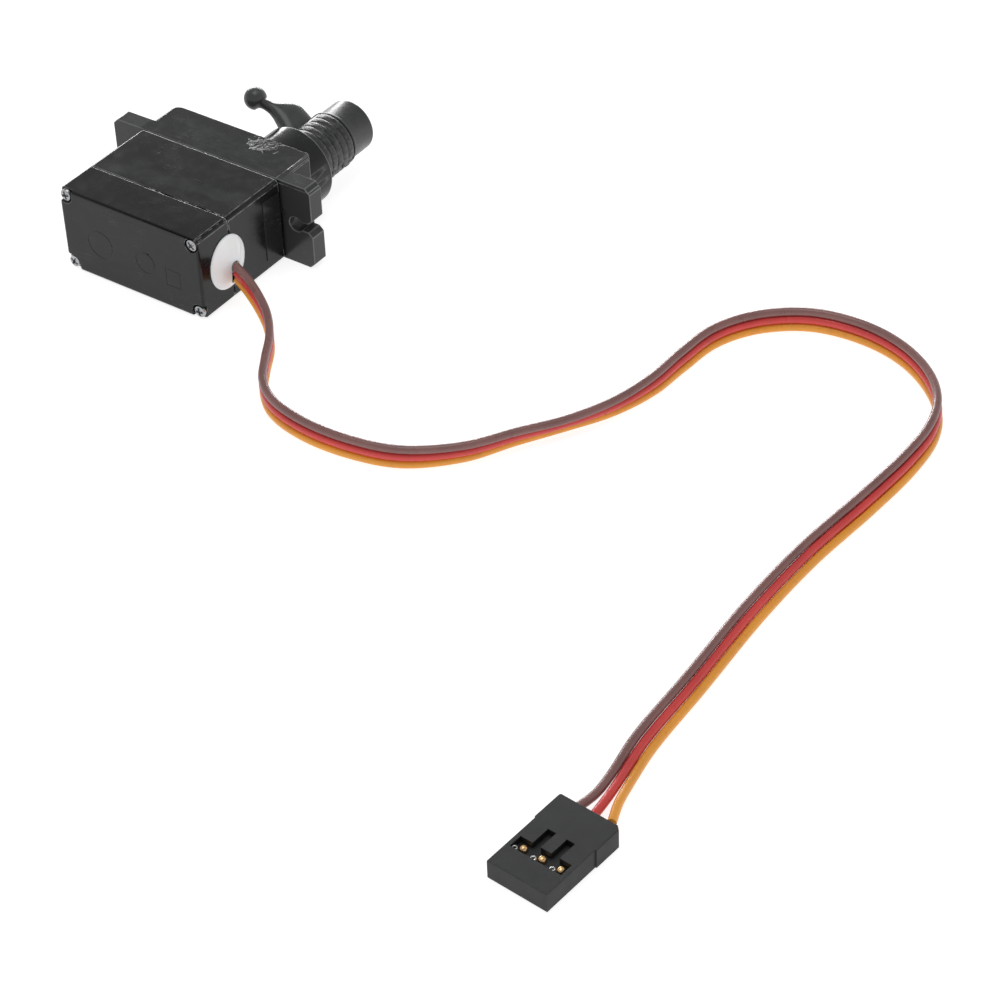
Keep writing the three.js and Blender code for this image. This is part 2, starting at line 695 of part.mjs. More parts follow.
function wire(side) {
  const curve = new THREE.CatmullRomCurve3(wirePoints(side));
  const ring = [];
  for (let i = 0; i < WIRE_SIDES; i += 1) {
    const angle = (2 * Math.PI * (i + 0.5)) / WIRE_SIDES;
    ring.push(new THREE.Vector2(WIRE_RADIUS * Math.cos(angle), WIRE_RADIUS * Math.sin(angle)));
  }
  const options = { steps: WIRE_STEPS, extrudePath: curve, bevelEnabled: false };
  return solid(new THREE.ExtrudeGeometry(new THREE.Shape(ring), options));
}

// Puts a piece made in the plug's own frame in its place on the surface.
function placePlug(part) {
  return part.rotate([0, 0, PLUG_YAW]).translate([PLUG_FRONT[0], PLUG_FRONT[1], 0]);
}

const PLUG_WAYS = [-1, 0, 1];

function plugHousing() {
  const nose = PLUG_NOSE.width / 2;
  const grip = PLUG_GRIP.width / 2;
  const top = PLUG_NOSE.height;
  const chamfer = 0.3;
  const body = joined([
    box(0, PLUG_STEP + 0.5, -nose, nose, 0, top),
    box(PLUG_STEP, PLUG_LENGTH, -grip, grip, 0, PLUG_GRIP.height),
  ]);
  const edges = [1, -1].map((side) => {
    const wedge = box(-1, PLUG_STEP, -chamfer, chamfer, -chamfer, chamfer).rotate([45, 0, 0]);
    return wedge.translate([0, side * (nose + 0.12), top + 0.12]);
  });
  const pit = box(PLUG_WINDOW[0], PLUG_STEP - 0.1, -nose + 0.35, nose - 0.35, top - 0.8, top + 1);
  const tongues = PLUG_WAYS.map((way) => {
    const y = way * PLUG_PITCH;
    return box(PLUG_WINDOW[1], PLUG_STEP, y - PLUG_TONGUE / 2, y + PLUG_TONGUE / 2, top - 0.9, top);
  });
  const sockets = PLUG_WAYS.flatMap((way) => {
    const y = way * PLUG_PITCH;
    const half = PLUG_SOCKET / 2;
    return [
      box(-1, PLUG_STEP + 1.5, y - half, y + half, 0.45, 0.45 + PLUG_SOCKET),
      rodX(y * 0.87, 1.35, 0.72, PLUG_STEP + 1, PLUG_LENGTH + 1, 20),
    ];
  });
  return placePlug(cut(joined([cut(body, [...edges, pit]), ...tongues]), sockets));
}

// Crimped socket contact with a raised latch that shows in the housing's window.
function plugContact(way) {
  const y = way * PLUG_PITCH;
  const half = PLUG_SOCKET / 2 - 0.08;
  const barrel = box(1.0, PLUG_STEP + 1.3, y - half, y + half, 0.53, 0.37 + PLUG_SOCKET);
  const bore = box(0, PLUG_STEP, y - 0.33, y + 0.33, 0.76, 1.42);
  const latch = box(PLUG_WINDOW[0] + 0.25, PLUG_WINDOW[1] - 0.2, y - 0.35, y + 0.35, 1.6, 1.95);
  return placePlug(barrel.subtract(bore).add(latch));
}

// ---------------------------------------------------------------- assembly

const MATERIALS = {
  case: { color: '#3a3c3e', roughness: 0.35 },
  steel: { color: '#b9bbbd', roughness: 0.3, metalness: 0.9 },
  darkSteel: { color: '#4a4b4d', roughness: 0.45, metalness: 0.7 },
  brass: { color: '#c8a24e', roughness: 0.35, metalness: 0.9 },
  nylon: { color: '#ececea', roughness: 0.5 },
  horn: { color: '#46484a', roughness: 0.4 },
  board: { color: '#1f5f3a', roughness: 0.5 },
  chip: { color: '#202123', roughness: 0.5 },
  gold: { color: '#d9b25c', roughness: 0.3, metalness: 1.0 },
  plug: { color: '#2b2d30', roughness: 0.45 },
};

const group = new THREE.Group();
group.name = 'servo_motor';

function addMesh(name, part, look) {
  const { vertProperties, triVerts } = part.getMesh();
  const geometry = new THREE.BufferGeometry();
  geometry.setAttribute('position', new THREE.BufferAttribute(new Float32Array(vertProperties), 3));
  geometry.setIndex(new THREE.BufferAttribute(new Uint32Array(triVerts), 1));
  geometry.computeVertexNormals();
  const mesh = new THREE.Mesh(geometry, new THREE.MeshStandardMaterial(look));
  mesh.name = name;
  group.add(mesh);
}

function addServoPiece(name, part, look) {
  addMesh(name, part.translate(CASE_SHIFT), look);
}

addServoPiece('bottom_cover', bottomCover(), MATERIALS.case);
addServoPiece('middle_case', middleCase(), MATERIALS.case);
addServoPiece('top_case', topCase(), MATERIALS.case);
screwPlaces().forEach(([x, z], i) => {
  addServoPiece(`case_screw_${i + 1}`, caseScrew(x, z), MATERIALS.steel);
});
addServoPiece('grommet', grommet(), MATERIALS.nylon);

addServoPiece('motor_can', motorCan(), MATERIALS.steel);
addServoPiece('motor_end_cap', motorEndCap(), MATERIALS.nylon);
addServoPiece('motor_terminal_1', motorTerminal(1), MATERIALS.brass);
addServoPiece('motor_terminal_2', motorTerminal(-1), MATERIALS.brass);
addServoPiece('rotor_shaft', rotorShaft(), MATERIALS.steel);
addServoPiece('motor_pinion', motorPinion(), MATERIALS.brass);
addServoPiece('gear_1', firstGear(), MATERIALS.nylon);
addServoPiece('gear_2', secondGear(), MATERIALS.nylon);
addServoPiece('gear_3', thirdGear(), MATERIALS.nylon);
addServoPiece('output_gear', outputGear(), MATERIALS.nylon);
addServoPiece('layshaft', layshaft(), MATERIALS.steel);
addServoPiece('output_bushing', outputBushing(), MATERIALS.brass);
addServoPiece('potentiometer_body', potentiometerBody(), MATERIALS.chip);
addServoPiece('potentiometer_shaft', potentiometerShaft(), MATERIALS.nylon);
for (let i = 0; i < 3; i += 1) {
  addServoPiece(`potentiometer_pin_${i + 1}`, potentiometerPin(i), MATERIALS.brass);
}
addServoPiece('circuit_board', circuitBoard(), MATERIALS.board);
addServoPiece('controller_chip', controllerChip(), MATERIALS.chip);
addServoPiece('driver_chip_1', driverChip(1), MATERIALS.chip);
addServoPiece('driver_chip_2', driverChip(-1), MATERIALS.chip);
addServoPiece('board_capacitor', boardCapacitor(), MATERIALS.brass);

addServoPiece('horn_hub', hornHub(), MATERIALS.horn);
addServoPiece('horn_arm', hornArm(), MATERIALS.horn);
for (let i = 0; i < RING_COUNT; i += 1) {
  addServoPiece(`saver_ring_${i + 1}`, saverRing(i), MATERIALS.darkSteel);
}
addServoPiece('horn_cap', hornCap(), MATERIALS.horn);
addServoPiece('horn_screw', hornScrew(), MATERIALS.steel);

for (const [name, [side, color]] of Object.entries(WIRE_COLOURS)) {
  addMesh(name, wire(side), { color, roughness: 0.4 });
}
addMesh('plug_housing', plugHousing(), MATERIALS.plug);
PLUG_WAYS.forEach((way, i) => {
  addMesh(`plug_contact_${i + 1}`, plugContact(way), MATERIALS.gold);
});

export default group;
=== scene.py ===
"""Looks of the micro servo motor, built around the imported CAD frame.

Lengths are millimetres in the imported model's own frame, and MM turns them into Blender's metres.
"""

import json
import math

import bmesh
import bpy
from mathutils import Matrix, Vector, noise


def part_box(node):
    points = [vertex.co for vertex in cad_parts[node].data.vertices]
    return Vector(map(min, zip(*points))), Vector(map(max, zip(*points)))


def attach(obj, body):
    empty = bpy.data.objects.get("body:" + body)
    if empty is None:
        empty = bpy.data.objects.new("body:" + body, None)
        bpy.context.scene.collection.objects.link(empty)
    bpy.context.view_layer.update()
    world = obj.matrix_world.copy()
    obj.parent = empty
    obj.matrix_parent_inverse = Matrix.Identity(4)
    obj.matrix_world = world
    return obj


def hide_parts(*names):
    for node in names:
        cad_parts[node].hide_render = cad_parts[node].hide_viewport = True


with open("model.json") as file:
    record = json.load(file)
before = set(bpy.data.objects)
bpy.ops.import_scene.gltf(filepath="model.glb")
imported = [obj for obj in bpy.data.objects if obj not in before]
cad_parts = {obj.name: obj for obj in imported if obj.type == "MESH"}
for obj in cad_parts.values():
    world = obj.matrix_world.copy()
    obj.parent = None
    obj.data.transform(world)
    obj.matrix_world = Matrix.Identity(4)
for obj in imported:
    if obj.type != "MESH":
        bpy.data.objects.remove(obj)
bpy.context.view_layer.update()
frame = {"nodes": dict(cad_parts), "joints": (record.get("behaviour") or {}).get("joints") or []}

MM = 0.001
NODES = frame["nodes"]


# ---------------------------------------------------------------- places read from the frame, mm


def box_mm(node):
    """Lowest and highest corner of a CAD node."""
    low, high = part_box(node)
    return low / MM, high / MM


COVER_LOW, COVER_HIGH = box_mm("bottom_cover")
MIDDLE_LOW, MIDDLE_HIGH = box_mm("middle_case")
TOP_HIGH = box_mm("top_case")[1]
GROMMET_LOW, GROMMET_HIGH = box_mm("grommet")
HALF_LENGTH = COVER_HIGH.x
CENTRE_Z = (COVER_LOW.z + COVER_HIGH.z) / 2
HALF_WIDTH = COVER_HIGH.z - CENTRE_Z
END_FACE = COVER_LOW.y
BOSS_TOP = TOP_HIGH.y
AXIS = Vector(next(j for j in frame["joints"] if j["name"] == "output_turn")["pos_m"]) / MM
SCREWS = [sum(box_mm(f"case_screw_{i}"), Vector()) / 2 for i in range(1, 5)]
GROMMET_CENTRE = (GROMMET_LOW + GROMMET_HIGH) / 2
CASE_CORNER = 0.6  # radius of the case's long edges, as in the CAD model
GLUE_FRONT = MIDDLE_HIGH.y + 3.8  # near end of the glue smear beside the boss

# ---------------------------------------------------------------- camera, light and floor

CAMERA_PLACE = (231.83, -257.16, 230.98)
CAMERA_AZIMUTH = 36.2
CAMERA_ELEVATION = 39.38
CAMERA_ROLL = -2.19
CAMERA_LENS = 108.0
SENSOR_WIDTH = 36.0
SKY_AT_HORIZON = 1.0
SKY_OVERHEAD = 0.2
FLOOR_DROP = 0.08
FLOOR_HALF_SIZE = 3.0
FLOOR_GREY = 0.45
FLOOR_GLOW = 0.80
# Softboxes: name, place, point aimed at, width, height in mm, and power in watts
SOFTBOXES = [
    ("back_light", (-384, 462, 75), (5, 0, 8), 500, 130, 2.8),
    ("overhead", (0, 0, 600), (0, 0, 0), 400, 400, 1.35),
]


def make_camera():
    data = bpy.data.cameras.new("camera")
    data.lens = CAMERA_LENS
    data.sensor_width = SENSOR_WIDTH
    data.clip_start = 0.01
    data.clip_end = 20.0
    camera = bpy.data.objects.new("camera", data)
    bpy.context.scene.collection.objects.link(camera)
    turn = Matrix.Rotation(math.radians(CAMERA_AZIMUTH), 4, "Z")
    tilt = Matrix.Rotation(math.radians(90 - CAMERA_ELEVATION), 4, "X")
    roll = Matrix.Rotation(math.radians(CAMERA_ROLL), 4, "Z")
    camera.matrix_world = Matrix.Translation(Vector(CAMERA_PLACE) * MM) @ turn @ tilt @ roll
    bpy.context.scene.camera = camera


def make_world():
    """A white room, darker overhead than round the sides."""
    world = bpy.data.worlds.new("room")
    world.use_nodes = True
    bpy.context.scene.world = world
    tree = world.node_tree
    background = tree.nodes["Background"]
    place = tree.nodes.new("ShaderNodeTexCoord")
    split = tree.nodes.new("ShaderNodeSeparateXYZ")
    tree.links.new(place.outputs["Generated"], split.inputs[0])
    strength = tree.nodes.new("ShaderNodeMapRange")
    strength.inputs["From Min"].default_value = 0.0
    strength.inputs["From Max"].default_value = 1.0
    strength.inputs["To Min"].default_value = SKY_AT_HORIZON
    strength.inputs["To Max"].default_value = SKY_OVERHEAD
    tree.links.new(split.outputs["Z"], strength.inputs["Value"])
    tree.links.new(strength.outputs["Result"], background.inputs["Strength"])
    background.inputs["Color"].default_value = (1.0, 1.0, 1.0, 1.0)


def make_softbox(name, place, aim, width, height, power):
    """Oblong soft light at a place, turned to a point, all in mm."""
    data = bpy.data.lights.new(name, "AREA")
    data.shape = "RECTANGLE"
    data.size = width * MM
    data.size_y = height * MM
    data.energy = power
    light = bpy.data.objects.new(name, data)
    bpy.context.scene.collection.objects.link(light)
    light.location = Vector(place) * MM
    light.rotation_mode = "QUATERNION"
    light.rotation_quaternion = (Vector(aim) - Vector(place)).to_track_quat("-Z", "Y")


def make_floor():
    """Pale floor just under the lowest wire."""
    half = FLOOR_HALF_SIZE
    mesh = bpy.data.meshes.new("floor")
    corners = [(-half, -half), (half, -half), (half, half), (-half, half)]
    mesh.from_pydata([(x, y, -FLOOR_DROP * MM) for x, y in corners], [], [(0, 1, 2, 3)])
    floor = bpy.data.objects.new("floor", mesh)
    bpy.context.scene.collection.objects.link(floor)
    material = bpy.data.materials.new("floor")
    material.use_nodes = True
    surface = material.node_tree.nodes["Principled BSDF"]
    surface.inputs["Base Color"].default_value = (FLOOR_GREY, FLOOR_GREY, FLOOR_GREY, 1)
    surface.inputs["Roughness"].default_value = 1.0
    surface.inputs["Specular IOR Level"].default_value = 0.0
    surface.inputs["Emission Color"].default_value = (1, 1, 1, 1)
    surface.inputs["Emission Strength"].default_value = FLOOR_GLOW
    mesh.materials.append(material)


# ---------------------------------------------------------------- materials


class Look:
    """A material built from nodes, whose patterns are placed by the piece's own coordinates in mm."""

    def __init__(self, name):
        self.material = bpy.data.materials.new(name)
        self.material.use_nodes = True
        self.tree = self.material.node_tree
        self.surface = self.tree.nodes["Principled BSDF"]
        coordinates = self.tree.nodes.new("ShaderNodeTexCoord")
        self.place = self.stretched((1 / MM,) * 3, coordinates.outputs["Object"])

    def node(self, kind, **inputs):
        made = self.tree.nodes.new("ShaderNode" + kind)
        for name, value in inputs.items():
            self.feed(made.inputs[name.replace("_", " ")], value)
        return made

    def feed(self, socket, value):
        """Links an output to a socket, or sets the socket's value."""
        if isinstance(value, bpy.types.NodeSocket):
            self.tree.links.new(value, socket)
        elif hasattr(socket.default_value, "__len__") and len(socket.default_value) == 4:
            socket.default_value = (*value[:3], 1)
        else:
            socket.default_value = value

    def stretched(self, scale, source=None):
        mapping = self.tree.nodes.new("ShaderNodeMapping")
        self.feed(mapping.inputs["Vector"], source or self.place)
        mapping.inputs["Scale"].default_value = scale
        return mapping.outputs["Vector"]

    def noise(self, scale, detail=3.0, stretch=None, distortion=0.0):
        """Cloudy pattern from 0 to 1, with `scale` blobs to the millimetre."""
        source = self.stretched(stretch) if stretch else self.place
        made = self.node("TexNoise", Vector=source, Scale=scale, Detail=detail, Distortion=distortion)
        return made.outputs["Fac"]

    def cells(self, scale, stretch=None):
        """Distance to the nearest of scattered points, in cell widths."""
        source = self.stretched(stretch) if stretch else self.place
        made = self.node("TexVoronoi", Vector=source, Scale=scale)
        return made.outputs["Distance"]

    def step(self, value, low, high, to_low=0.0, to_high=1.0):
        """Maps low..high to to_low..to_high, held constant outside."""
        made = self.tree.nodes.new("ShaderNodeMapRange")
        numbers = {"Value": value, "From Min": low, "From Max": high, "To Min": to_low, "To Max": to_high}
        for name, number in numbers.items():
            self.feed(made.inputs[name], number)
        return made.outputs["Result"]

    def math(self, operation, first, second):
        made = self.tree.nodes.new("ShaderNodeMath")
        made.operation = operation
        self.feed(made.inputs[0], first)
        self.feed(made.inputs[1], second)
        return made.outputs[0]

    def product(self, *values):
        result = values[0]
        for value in values[1:]:
            result = self.math("MULTIPLY", result, value)
        return result

    def total(self, *values):
        result = values[0]
        for value in values[1:]:
            result = self.math("ADD", result, value)
        return result

    def axis(self, name):
        """The piece's own x, y or z in mm."""
        made = self.tree.nodes.new("ShaderNodeSeparateXYZ")
        self.feed(made.inputs[0], self.place)
        return made.outputs[name]

    def blend(self, share, first, second):
        """Mixes two colours by a share from 0 to 1."""
        made = self.tree.nodes.new("ShaderNodeMix")
        made.data_type = "RGBA"
        self.feed(made.inputs[0], share)
        self.feed(made.inputs[6], first)
        self.feed(made.inputs[7], second)
        return made.outputs[2]

    def attribute(self, name):
        made = self.tree.nodes.new("ShaderNodeAttribute")
        made.attribute_name = name
        return made.outputs["Fac"]

    def upward(self):
        """1 on surfaces that face up, falling to 0 on the sides."""
        geometry = self.tree.nodes.new("ShaderNodeNewGeometry")
        split = self.tree.nodes.new("ShaderNodeSeparateXYZ")
        self.feed(split.inputs[0], geometry.outputs["Normal"])
        return self.step(split.outputs["Z"], 0.6, 0.95)

    def soft_gloss(self, strong=0.5, weak=0.12):
        """Gloss that fades where a surface turns away, as on plastic with a fine bloom."""
        layer = self.tree.nodes.new("ShaderNodeLayerWeight")
        layer.inputs["Blend"].default_value = 0.5
        return self.step(layer.outputs["Facing"], 0.38, 0.85, strong, weak)

    def set(self, **inputs):
        for name, value in inputs.items():
            self.feed(self.surface.inputs[name.replace("_", " ")], value)

    def relief(self, height, depth):
        """Bumps of a depth in mm from a pattern from 0 to 1."""
        bump = self.tree.nodes.new("ShaderNodeBump")
        bump.inputs["Strength"].default_value = 1.0
        bump.inputs["Distance"].default_value = depth * MM
        self.feed(bump.inputs["Height"], height)
        self.feed(self.surface.inputs["Normal"], bump.outputs["Normal"])


def between(look, value, low, high, edge):
    """1 where low < value < high, falling to 0 over `edge` on both sides."""
    return look.product(look.step(value, low - edge, low), look.step(value, high, high + edge, 1.0, 0.0))


def case_plastic():
    """Glossy charcoal plastic with handling marks (smudges, haze, specks, scratches) and painted light: a
    painted reflection band on the upper side, painted highlights along edges and seams, and ears painted
    lighter.
    """
    look = Look("case_plastic")
    smudges = look.noise(0.55, 4.0, distortion=0.5)
    clouds = look.noise(0.16, 3.0)
    dust_and_sheen = look.product(look.upward(), haze_and_painted_sheen(look))
    base = look.blend(smudges, (0.0034, 0.0038, 0.0042), (0.0078, 0.0084, 0.0090))
    # Dust haze and a painted reflection band lighten the up-facing sides.
    settled_dust_and_sheen = look.product(dust_and_sheen, look.step(smudges, 0.2, 0.8, 0.75, 1.0))
    base = look.blend(settled_dust_and_sheen, base, (0.050, 0.0525, 0.055))
    marks = look.math("MAXIMUM", case_specks(look), case_scratches(look))
    base = look.blend(marks, base, (0.15, 0.153, 0.157))
    # Painted light: the ears are lightened, lifting the shade on their faces.
    painted_light_on_ear = look.step(look.math("ABSOLUTE", look.axis("X"), 0.0), HALF_LENGTH, HALF_LENGTH + 0.5)
    base = look.blend(look.product(painted_light_on_ear, 0.30), base, (0.10, 0.102, 0.105))
    # Painted highlights on the rounded edges and seams lighten the base.
    base = look.blend(painted_edge_highlights(look), base, (0.30, 0.305, 0.31))
    roughness = look.total(
        look.step(clouds, 0.3, 0.7, 0.13, 0.20),
        look.step(smudges, 0.45, 0.7, 0.0, 0.06),
        look.product(marks, 0.3),
    )
    look.set(Base_Color=base, Roughness=roughness, IOR=1.37, Specular_IOR_Level=look.soft_gloss())
    fine = look.noise(8.0, 2.0)
    look.relief(look.total(look.product(fine, 0.22), look.product(smudges, 0.8), clouds), 0.010)
    return look.material


def haze_and_painted_sheen(look):
    """How light the upper side is made: a band of painted reflection across the middle case, and haze, most
    on the top case.
    """
    uneven = look.step(look.noise(0.3, 3.0), 0.2, 0.8, -0.9, 0.9)
    y = look.total(look.axis("Y"), look.product(look.axis("X"), -0.14), uneven)
    middle = MIDDLE_LOW.y + 2.6
    # Painted reflection: a soft light band across the middle case's upper side.
    painted_reflection_band = look.product(between(look, y, middle - 0.7, middle + 0.7, 1.0), 0.28)
    behind = look.step(look.axis("Y"), MIDDLE_LOW.y - 0.2, MIDDLE_LOW.y + 0.6, 0.0, 0.07)
    top = look.step(look.axis("Y"), MIDDLE_HIGH.y - 0.3, MIDDLE_HIGH.y + 0.2, 0.0, 0.26)
    streaks = look.step(look.noise(0.9, 5.0, stretch=(0.5, 2.5, 1.0), distortion=0.8), 0.5, 0.72, 0.0, 0.22)
    near_seam = between(look, look.axis("Y"), MIDDLE_HIGH.y + 0.2, MIDDLE_HIGH.y + 4.5, 1.0)
    return look.total(painted_reflection_band, behind, top, look.product(streaks, near_seam))


def painted_edge_highlights(look):
    """How strongly an edge is painted as a highlight: the second seam all along, the first seam and the long
    edges in places.
    """
    broken = look.step(look.noise(1.1, 4.0), 0.47, 0.56)
    whole = look.math("MAXIMUM", look.step(look.axis("Y"), MIDDLE_HIGH.y - 0.5, MIDDLE_HIGH.y - 0.4),
                      look.step(look.axis("X"), -1.0, -4.5))
    rim_highlights = look.product(look.attribute("edge_highlight"), look.math("MAXIMUM", broken, look.product(whole, 0.8)))
    # Two thin painted highlight lines, one on each side of the rounded long edge between the broad face and
    # the +X end.
    corner = CASE_CORNER * 0.9
    over = between(look, look.axis("X"), HALF_LENGTH - corner - 0.04, HALF_LENGTH - corner + 0.04, 0.05)
    over = look.product(over, look.step(look.axis("Z"), TOP_HIGH.z - 0.12, TOP_HIGH.z - 0.06))
    below = between(look, look.axis("Z"), TOP_HIGH.z - corner - 0.04, TOP_HIGH.z - corner + 0.04, 0.05)
    below = look.product(below, look.step(look.axis("X"), HALF_LENGTH - 0.12, HALF_LENGTH - 0.06))
    lines = look.product(look.total(over, below), look.step(look.noise(0.8, 3.0), 0.40, 0.55, 0.1, 0.5))
    return look.math("MAXIMUM", rim_highlights, lines)


def case_specks(look):
    """Small chips and specks, most of them near the first seam."""
    dots = look.step(look.cells(1.5), 0.035, 0.075, 1.0, 0.0)
    few = look.step(look.noise(0.4, 2.0), 0.50, 0.58)
    near_seam = between(look, look.axis("Y"), MIDDLE_LOW.y - 2.2, MIDDLE_LOW.y + 1.2, 1.5)
    return look.product(dots, few, look.total(look.product(near_seam, 0.6), 0.25))


def case_scratches(look):
    """Short fine scratches in patches."""
    lines = look.step(look.noise(1.6, 3.0, stretch=(0.35, 7.0, 7.0)), 0.64, 0.68)
    crossing = look.step(look.noise(1.6, 3.0, stretch=(5.0, 0.5, 5.0)), 0.66, 0.70)
    patches = look.step(look.noise(0.3, 2.0), 0.50, 0.62)
    return look.product(look.math("MAXIMUM", lines, crossing), patches, 0.30)


def horn_plastic(name, dark, light):
    """Slightly softer moulded plastic with a greasy sheen and moulding marks."""
    look = Look(name)
    cloud = look.noise(0.5, 4.0, distortion=0.4)
    streaks = look.noise(1.3, 4.0, stretch=(3.0, 0.8, 3.0))
    base = look.blend(cloud, dark, light)
    dots = look.step(look.cells(1.8), 0.03, 0.07, 1.0, 0.0)
    specks = look.product(dots, look.step(look.noise(0.5), 0.5, 0.6))
    base = look.blend(look.product(specks, 0.4), base, (0.12, 0.12, 0.12))
    look.set(
        Base_Color=base,
        Roughness=look.step(cloud, 0.3, 0.7, 0.22, 0.36),
        IOR=1.42,
        Specular_IOR_Level=look.soft_gloss(0.5, 0.25),
    )
    look.relief(look.total(look.product(look.noise(7.0, 2.0), 0.5), look.product(streaks, 0.7)), 0.010)
    return look.material


def ring_steel():
    """Dark spring steel, greasy and smeared."""
    look = Look("ring_steel")
    smear = look.noise(0.9, 5.0, distortion=0.8)
    grain = look.noise(5.0, 3.0, stretch=(1.0, 6.0, 1.0))
    blotches = look.step(look.noise(1.7, 3.0), 0.5, 0.68)
    base = look.blend(smear, (0.010, 0.0105, 0.011), (0.045, 0.047, 0.049))
    base = look.blend(look.product(blotches, 0.5), base, (0.085, 0.087, 0.09))
    look.set(
        Base_Color=base,
        Metallic=0.25,
        Roughness=look.step(smear, 0.3, 0.7, 0.2, 0.42),
        IOR=1.5,
        Specular_IOR_Level=look.soft_gloss(0.5, 0.2),
    )
    look.relief(look.total(smear, look.product(grain, 0.5), look.product(blotches, 0.4)), 0.035)
    return look.material


def bright_steel(name, colour=(0.55, 0.56, 0.57), low=0.16, high=0.34):
    """Plated metal with fine turning marks and small stains."""
    look = Look(name)
    stains = look.noise(1.1, 4.0)
    grain = look.noise(8.0, 2.0, stretch=(1.0, 5.0, 1.0))
    dark = tuple(c * 0.72 for c in colour)
    look.set(
        Base_Color=look.blend(look.step(stains, 0.35, 0.7), colour, dark),
        Metallic=1.0,
        Roughness=look.step(stains, 0.3, 0.7, low, high),
    )
    look.relief(grain, 0.006)
    return look.material


def white_nylon(name, colour, sheen=0.42):
    """Milky plastic that lets a little light in."""
    look = Look(name)
    cloud = look.noise(0.5, 4.0)
    warm = (colour[0] * 0.97, colour[1] * 0.95, colour[2] * 0.92)
    look.set(
        Base_Color=look.blend(look.step(cloud, 0.3, 0.75), colour, warm),
        Roughness=look.step(look.noise(1.5, 3.0), 0.3, 0.7, sheen - 0.08, sheen + 0.1),
        Subsurface_Weight=0.15,
        Subsurface_Scale=0.6 * MM,
        IOR=1.5,
    )
    look.relief(look.total(look.noise(4.0, 3.0), cloud), 0.012)
    return look.material


def vinyl(name, colour, worn):
    """Glossy wire cover with uneven dye, slight dents and handling dirt."""
    look = Look(name)
    dye = look.noise(0.22, 4.0)
    dirt = look.step(look.noise(0.9, 5.0), 0.58, 0.75)
    base = look.blend(look.step(dye, 0.3, 0.7), colour, worn)
    base = look.blend(look.product(dirt, 0.16), base, (0.12, 0.08, 0.06))
    look.set(
        Base_Color=base,
        Roughness=look.step(look.noise(0.8, 4.0), 0.3, 0.7, 0.24, 0.40),
        Subsurface_Weight=0.08,
        Subsurface_Scale=0.25 * MM,
        IOR=1.5,
    )
    look.relief(look.total(look.noise(1.2, 3.0), look.product(look.noise(7.0, 2.0), 0.25)), 0.022)
    return look.material


def plug_plastic():
    """Satin black plastic with fine spark-eroded grain."""
    look = Look("plug_plastic")
    cloud = look.noise(0.4, 4.0)
    grain = look.noise(11.0, 3.0)
    base = look.blend(cloud, (0.009, 0.0095, 0.010), (0.017, 0.018, 0.019))
    base = look.blend(look.product(look.upward(), 0.16), base, (0.06, 0.063, 0.066))
    look.set(
        Base_Color=base,
        Roughness=look.step(cloud, 0.3, 0.7, 0.40, 0.52),
        IOR=1.40,
        Specular_IOR_Level=look.soft_gloss(),
    )
    look.relief(look.total(grain, look.product(cloud, 0.8)), 0.012)
    return look.material


def old_glue():
    """Grey, crumpled glue, painted darker in its folds and lighter on its ridges as painted shade and
    highlight.
    """
    look = Look("old_glue")
    crumple = look.noise(1.6, 6.0, distortion=1.2)
    # Painted shade and highlight: the crumple that makes the bumps also sets the colour, dark in folds, grey
    # on ridges.
    base = look.blend(look.step(crumple, 0.38, 0.68), (0.012, 0.0125, 0.013), (0.11, 0.112, 0.115))
    ragged = look.total(look.axis("Y"), look.step(look.noise(1.4, 4.0), 0.2, 0.8, -0.9, 0.9))
    front = between(look, ragged, GLUE_FRONT + 0.25, GLUE_FRONT + 0.65, 0.2)
    base = look.blend(look.product(front, 0.8), base, (0.30, 0.30, 0.305))
    look.set(Base_Color=base, Roughness=look.step(crumple, 0.3, 0.7, 0.3, 0.55), IOR=1.42)
    look.relief(crumple, 0.10)
    return look.material


def board_green():
    """Green solder mask with faint copper tracks under it."""
    look = Look("board_green")
    tracks = look.step(look.cells(0.9, stretch=(1.0, 1.0, 0.2)), 0.1, 0.16)
    look.set(
        Base_Color=look.blend(tracks, (0.02, 0.16, 0.06), (0.008, 0.08, 0.03)),
        Roughness=look.step(look.noise(2.0, 3.0), 0.3, 0.7, 0.25, 0.4),
    )
    look.relief(tracks, 0.02)
    return look.material


def chip_black():
    """Matt moulded resin."""
    look = Look("chip_black")
    grain = look.noise(6.0, 4.0)
    look.set(
        Base_Color=look.blend(grain, (0.012, 0.012, 0.013), (0.03, 0.03, 0.032)),
        Roughness=look.step(grain, 0.3, 0.7, 0.5, 0.7),
    )
    look.relief(grain, 0.015)
    return look.material


LOOKS = {
    "case_plastic": case_plastic(),
    "horn_plastic": horn_plastic("horn_plastic", (0.018, 0.019, 0.020), (0.038, 0.040, 0.042)),
    "ring_steel": ring_steel(),
    "screw_steel": bright_steel("screw_steel", (0.40, 0.41, 0.42), 0.2, 0.36),
    "motor_steel": bright_steel("motor_steel", (0.5, 0.5, 0.49), 0.25, 0.45),
    "white_nylon": white_nylon("white_nylon", (0.865, 0.89, 0.912)),
    "brass": bright_steel("brass", (0.78, 0.53, 0.22), 0.2, 0.38),
    "board_green": board_green(),
    "chip_black": chip_black(),
    "wire_brown": vinyl("wire_brown", (0.235, 0.110, 0.100), (0.185, 0.088, 0.082)),
    "wire_red": vinyl("wire_red", (0.66, 0.055, 0.050), (0.57, 0.045, 0.045)),
    "wire_orange": vinyl("wire_orange", (0.82, 0.34, 0.035), (0.74, 0.30, 0.035)),
    "plug_plastic": plug_plastic(),
}
GOLD = bright_steel("contact_gold", (0.86, 0.56, 0.28), 0.22, 0.34)
GLUE = old_glue()
# Painted light: a lighter copy of the horn plastic for the arm's fin, while the sleeve of the same arm keeps
# the darker one.
LIT_ARM_PLASTIC = horn_plastic("arm_plastic_painted_lighter", (0.038, 0.040, 0.041), (0.064, 0.066, 0.068))


# ---------------------------------------------------------------- mesh helpers


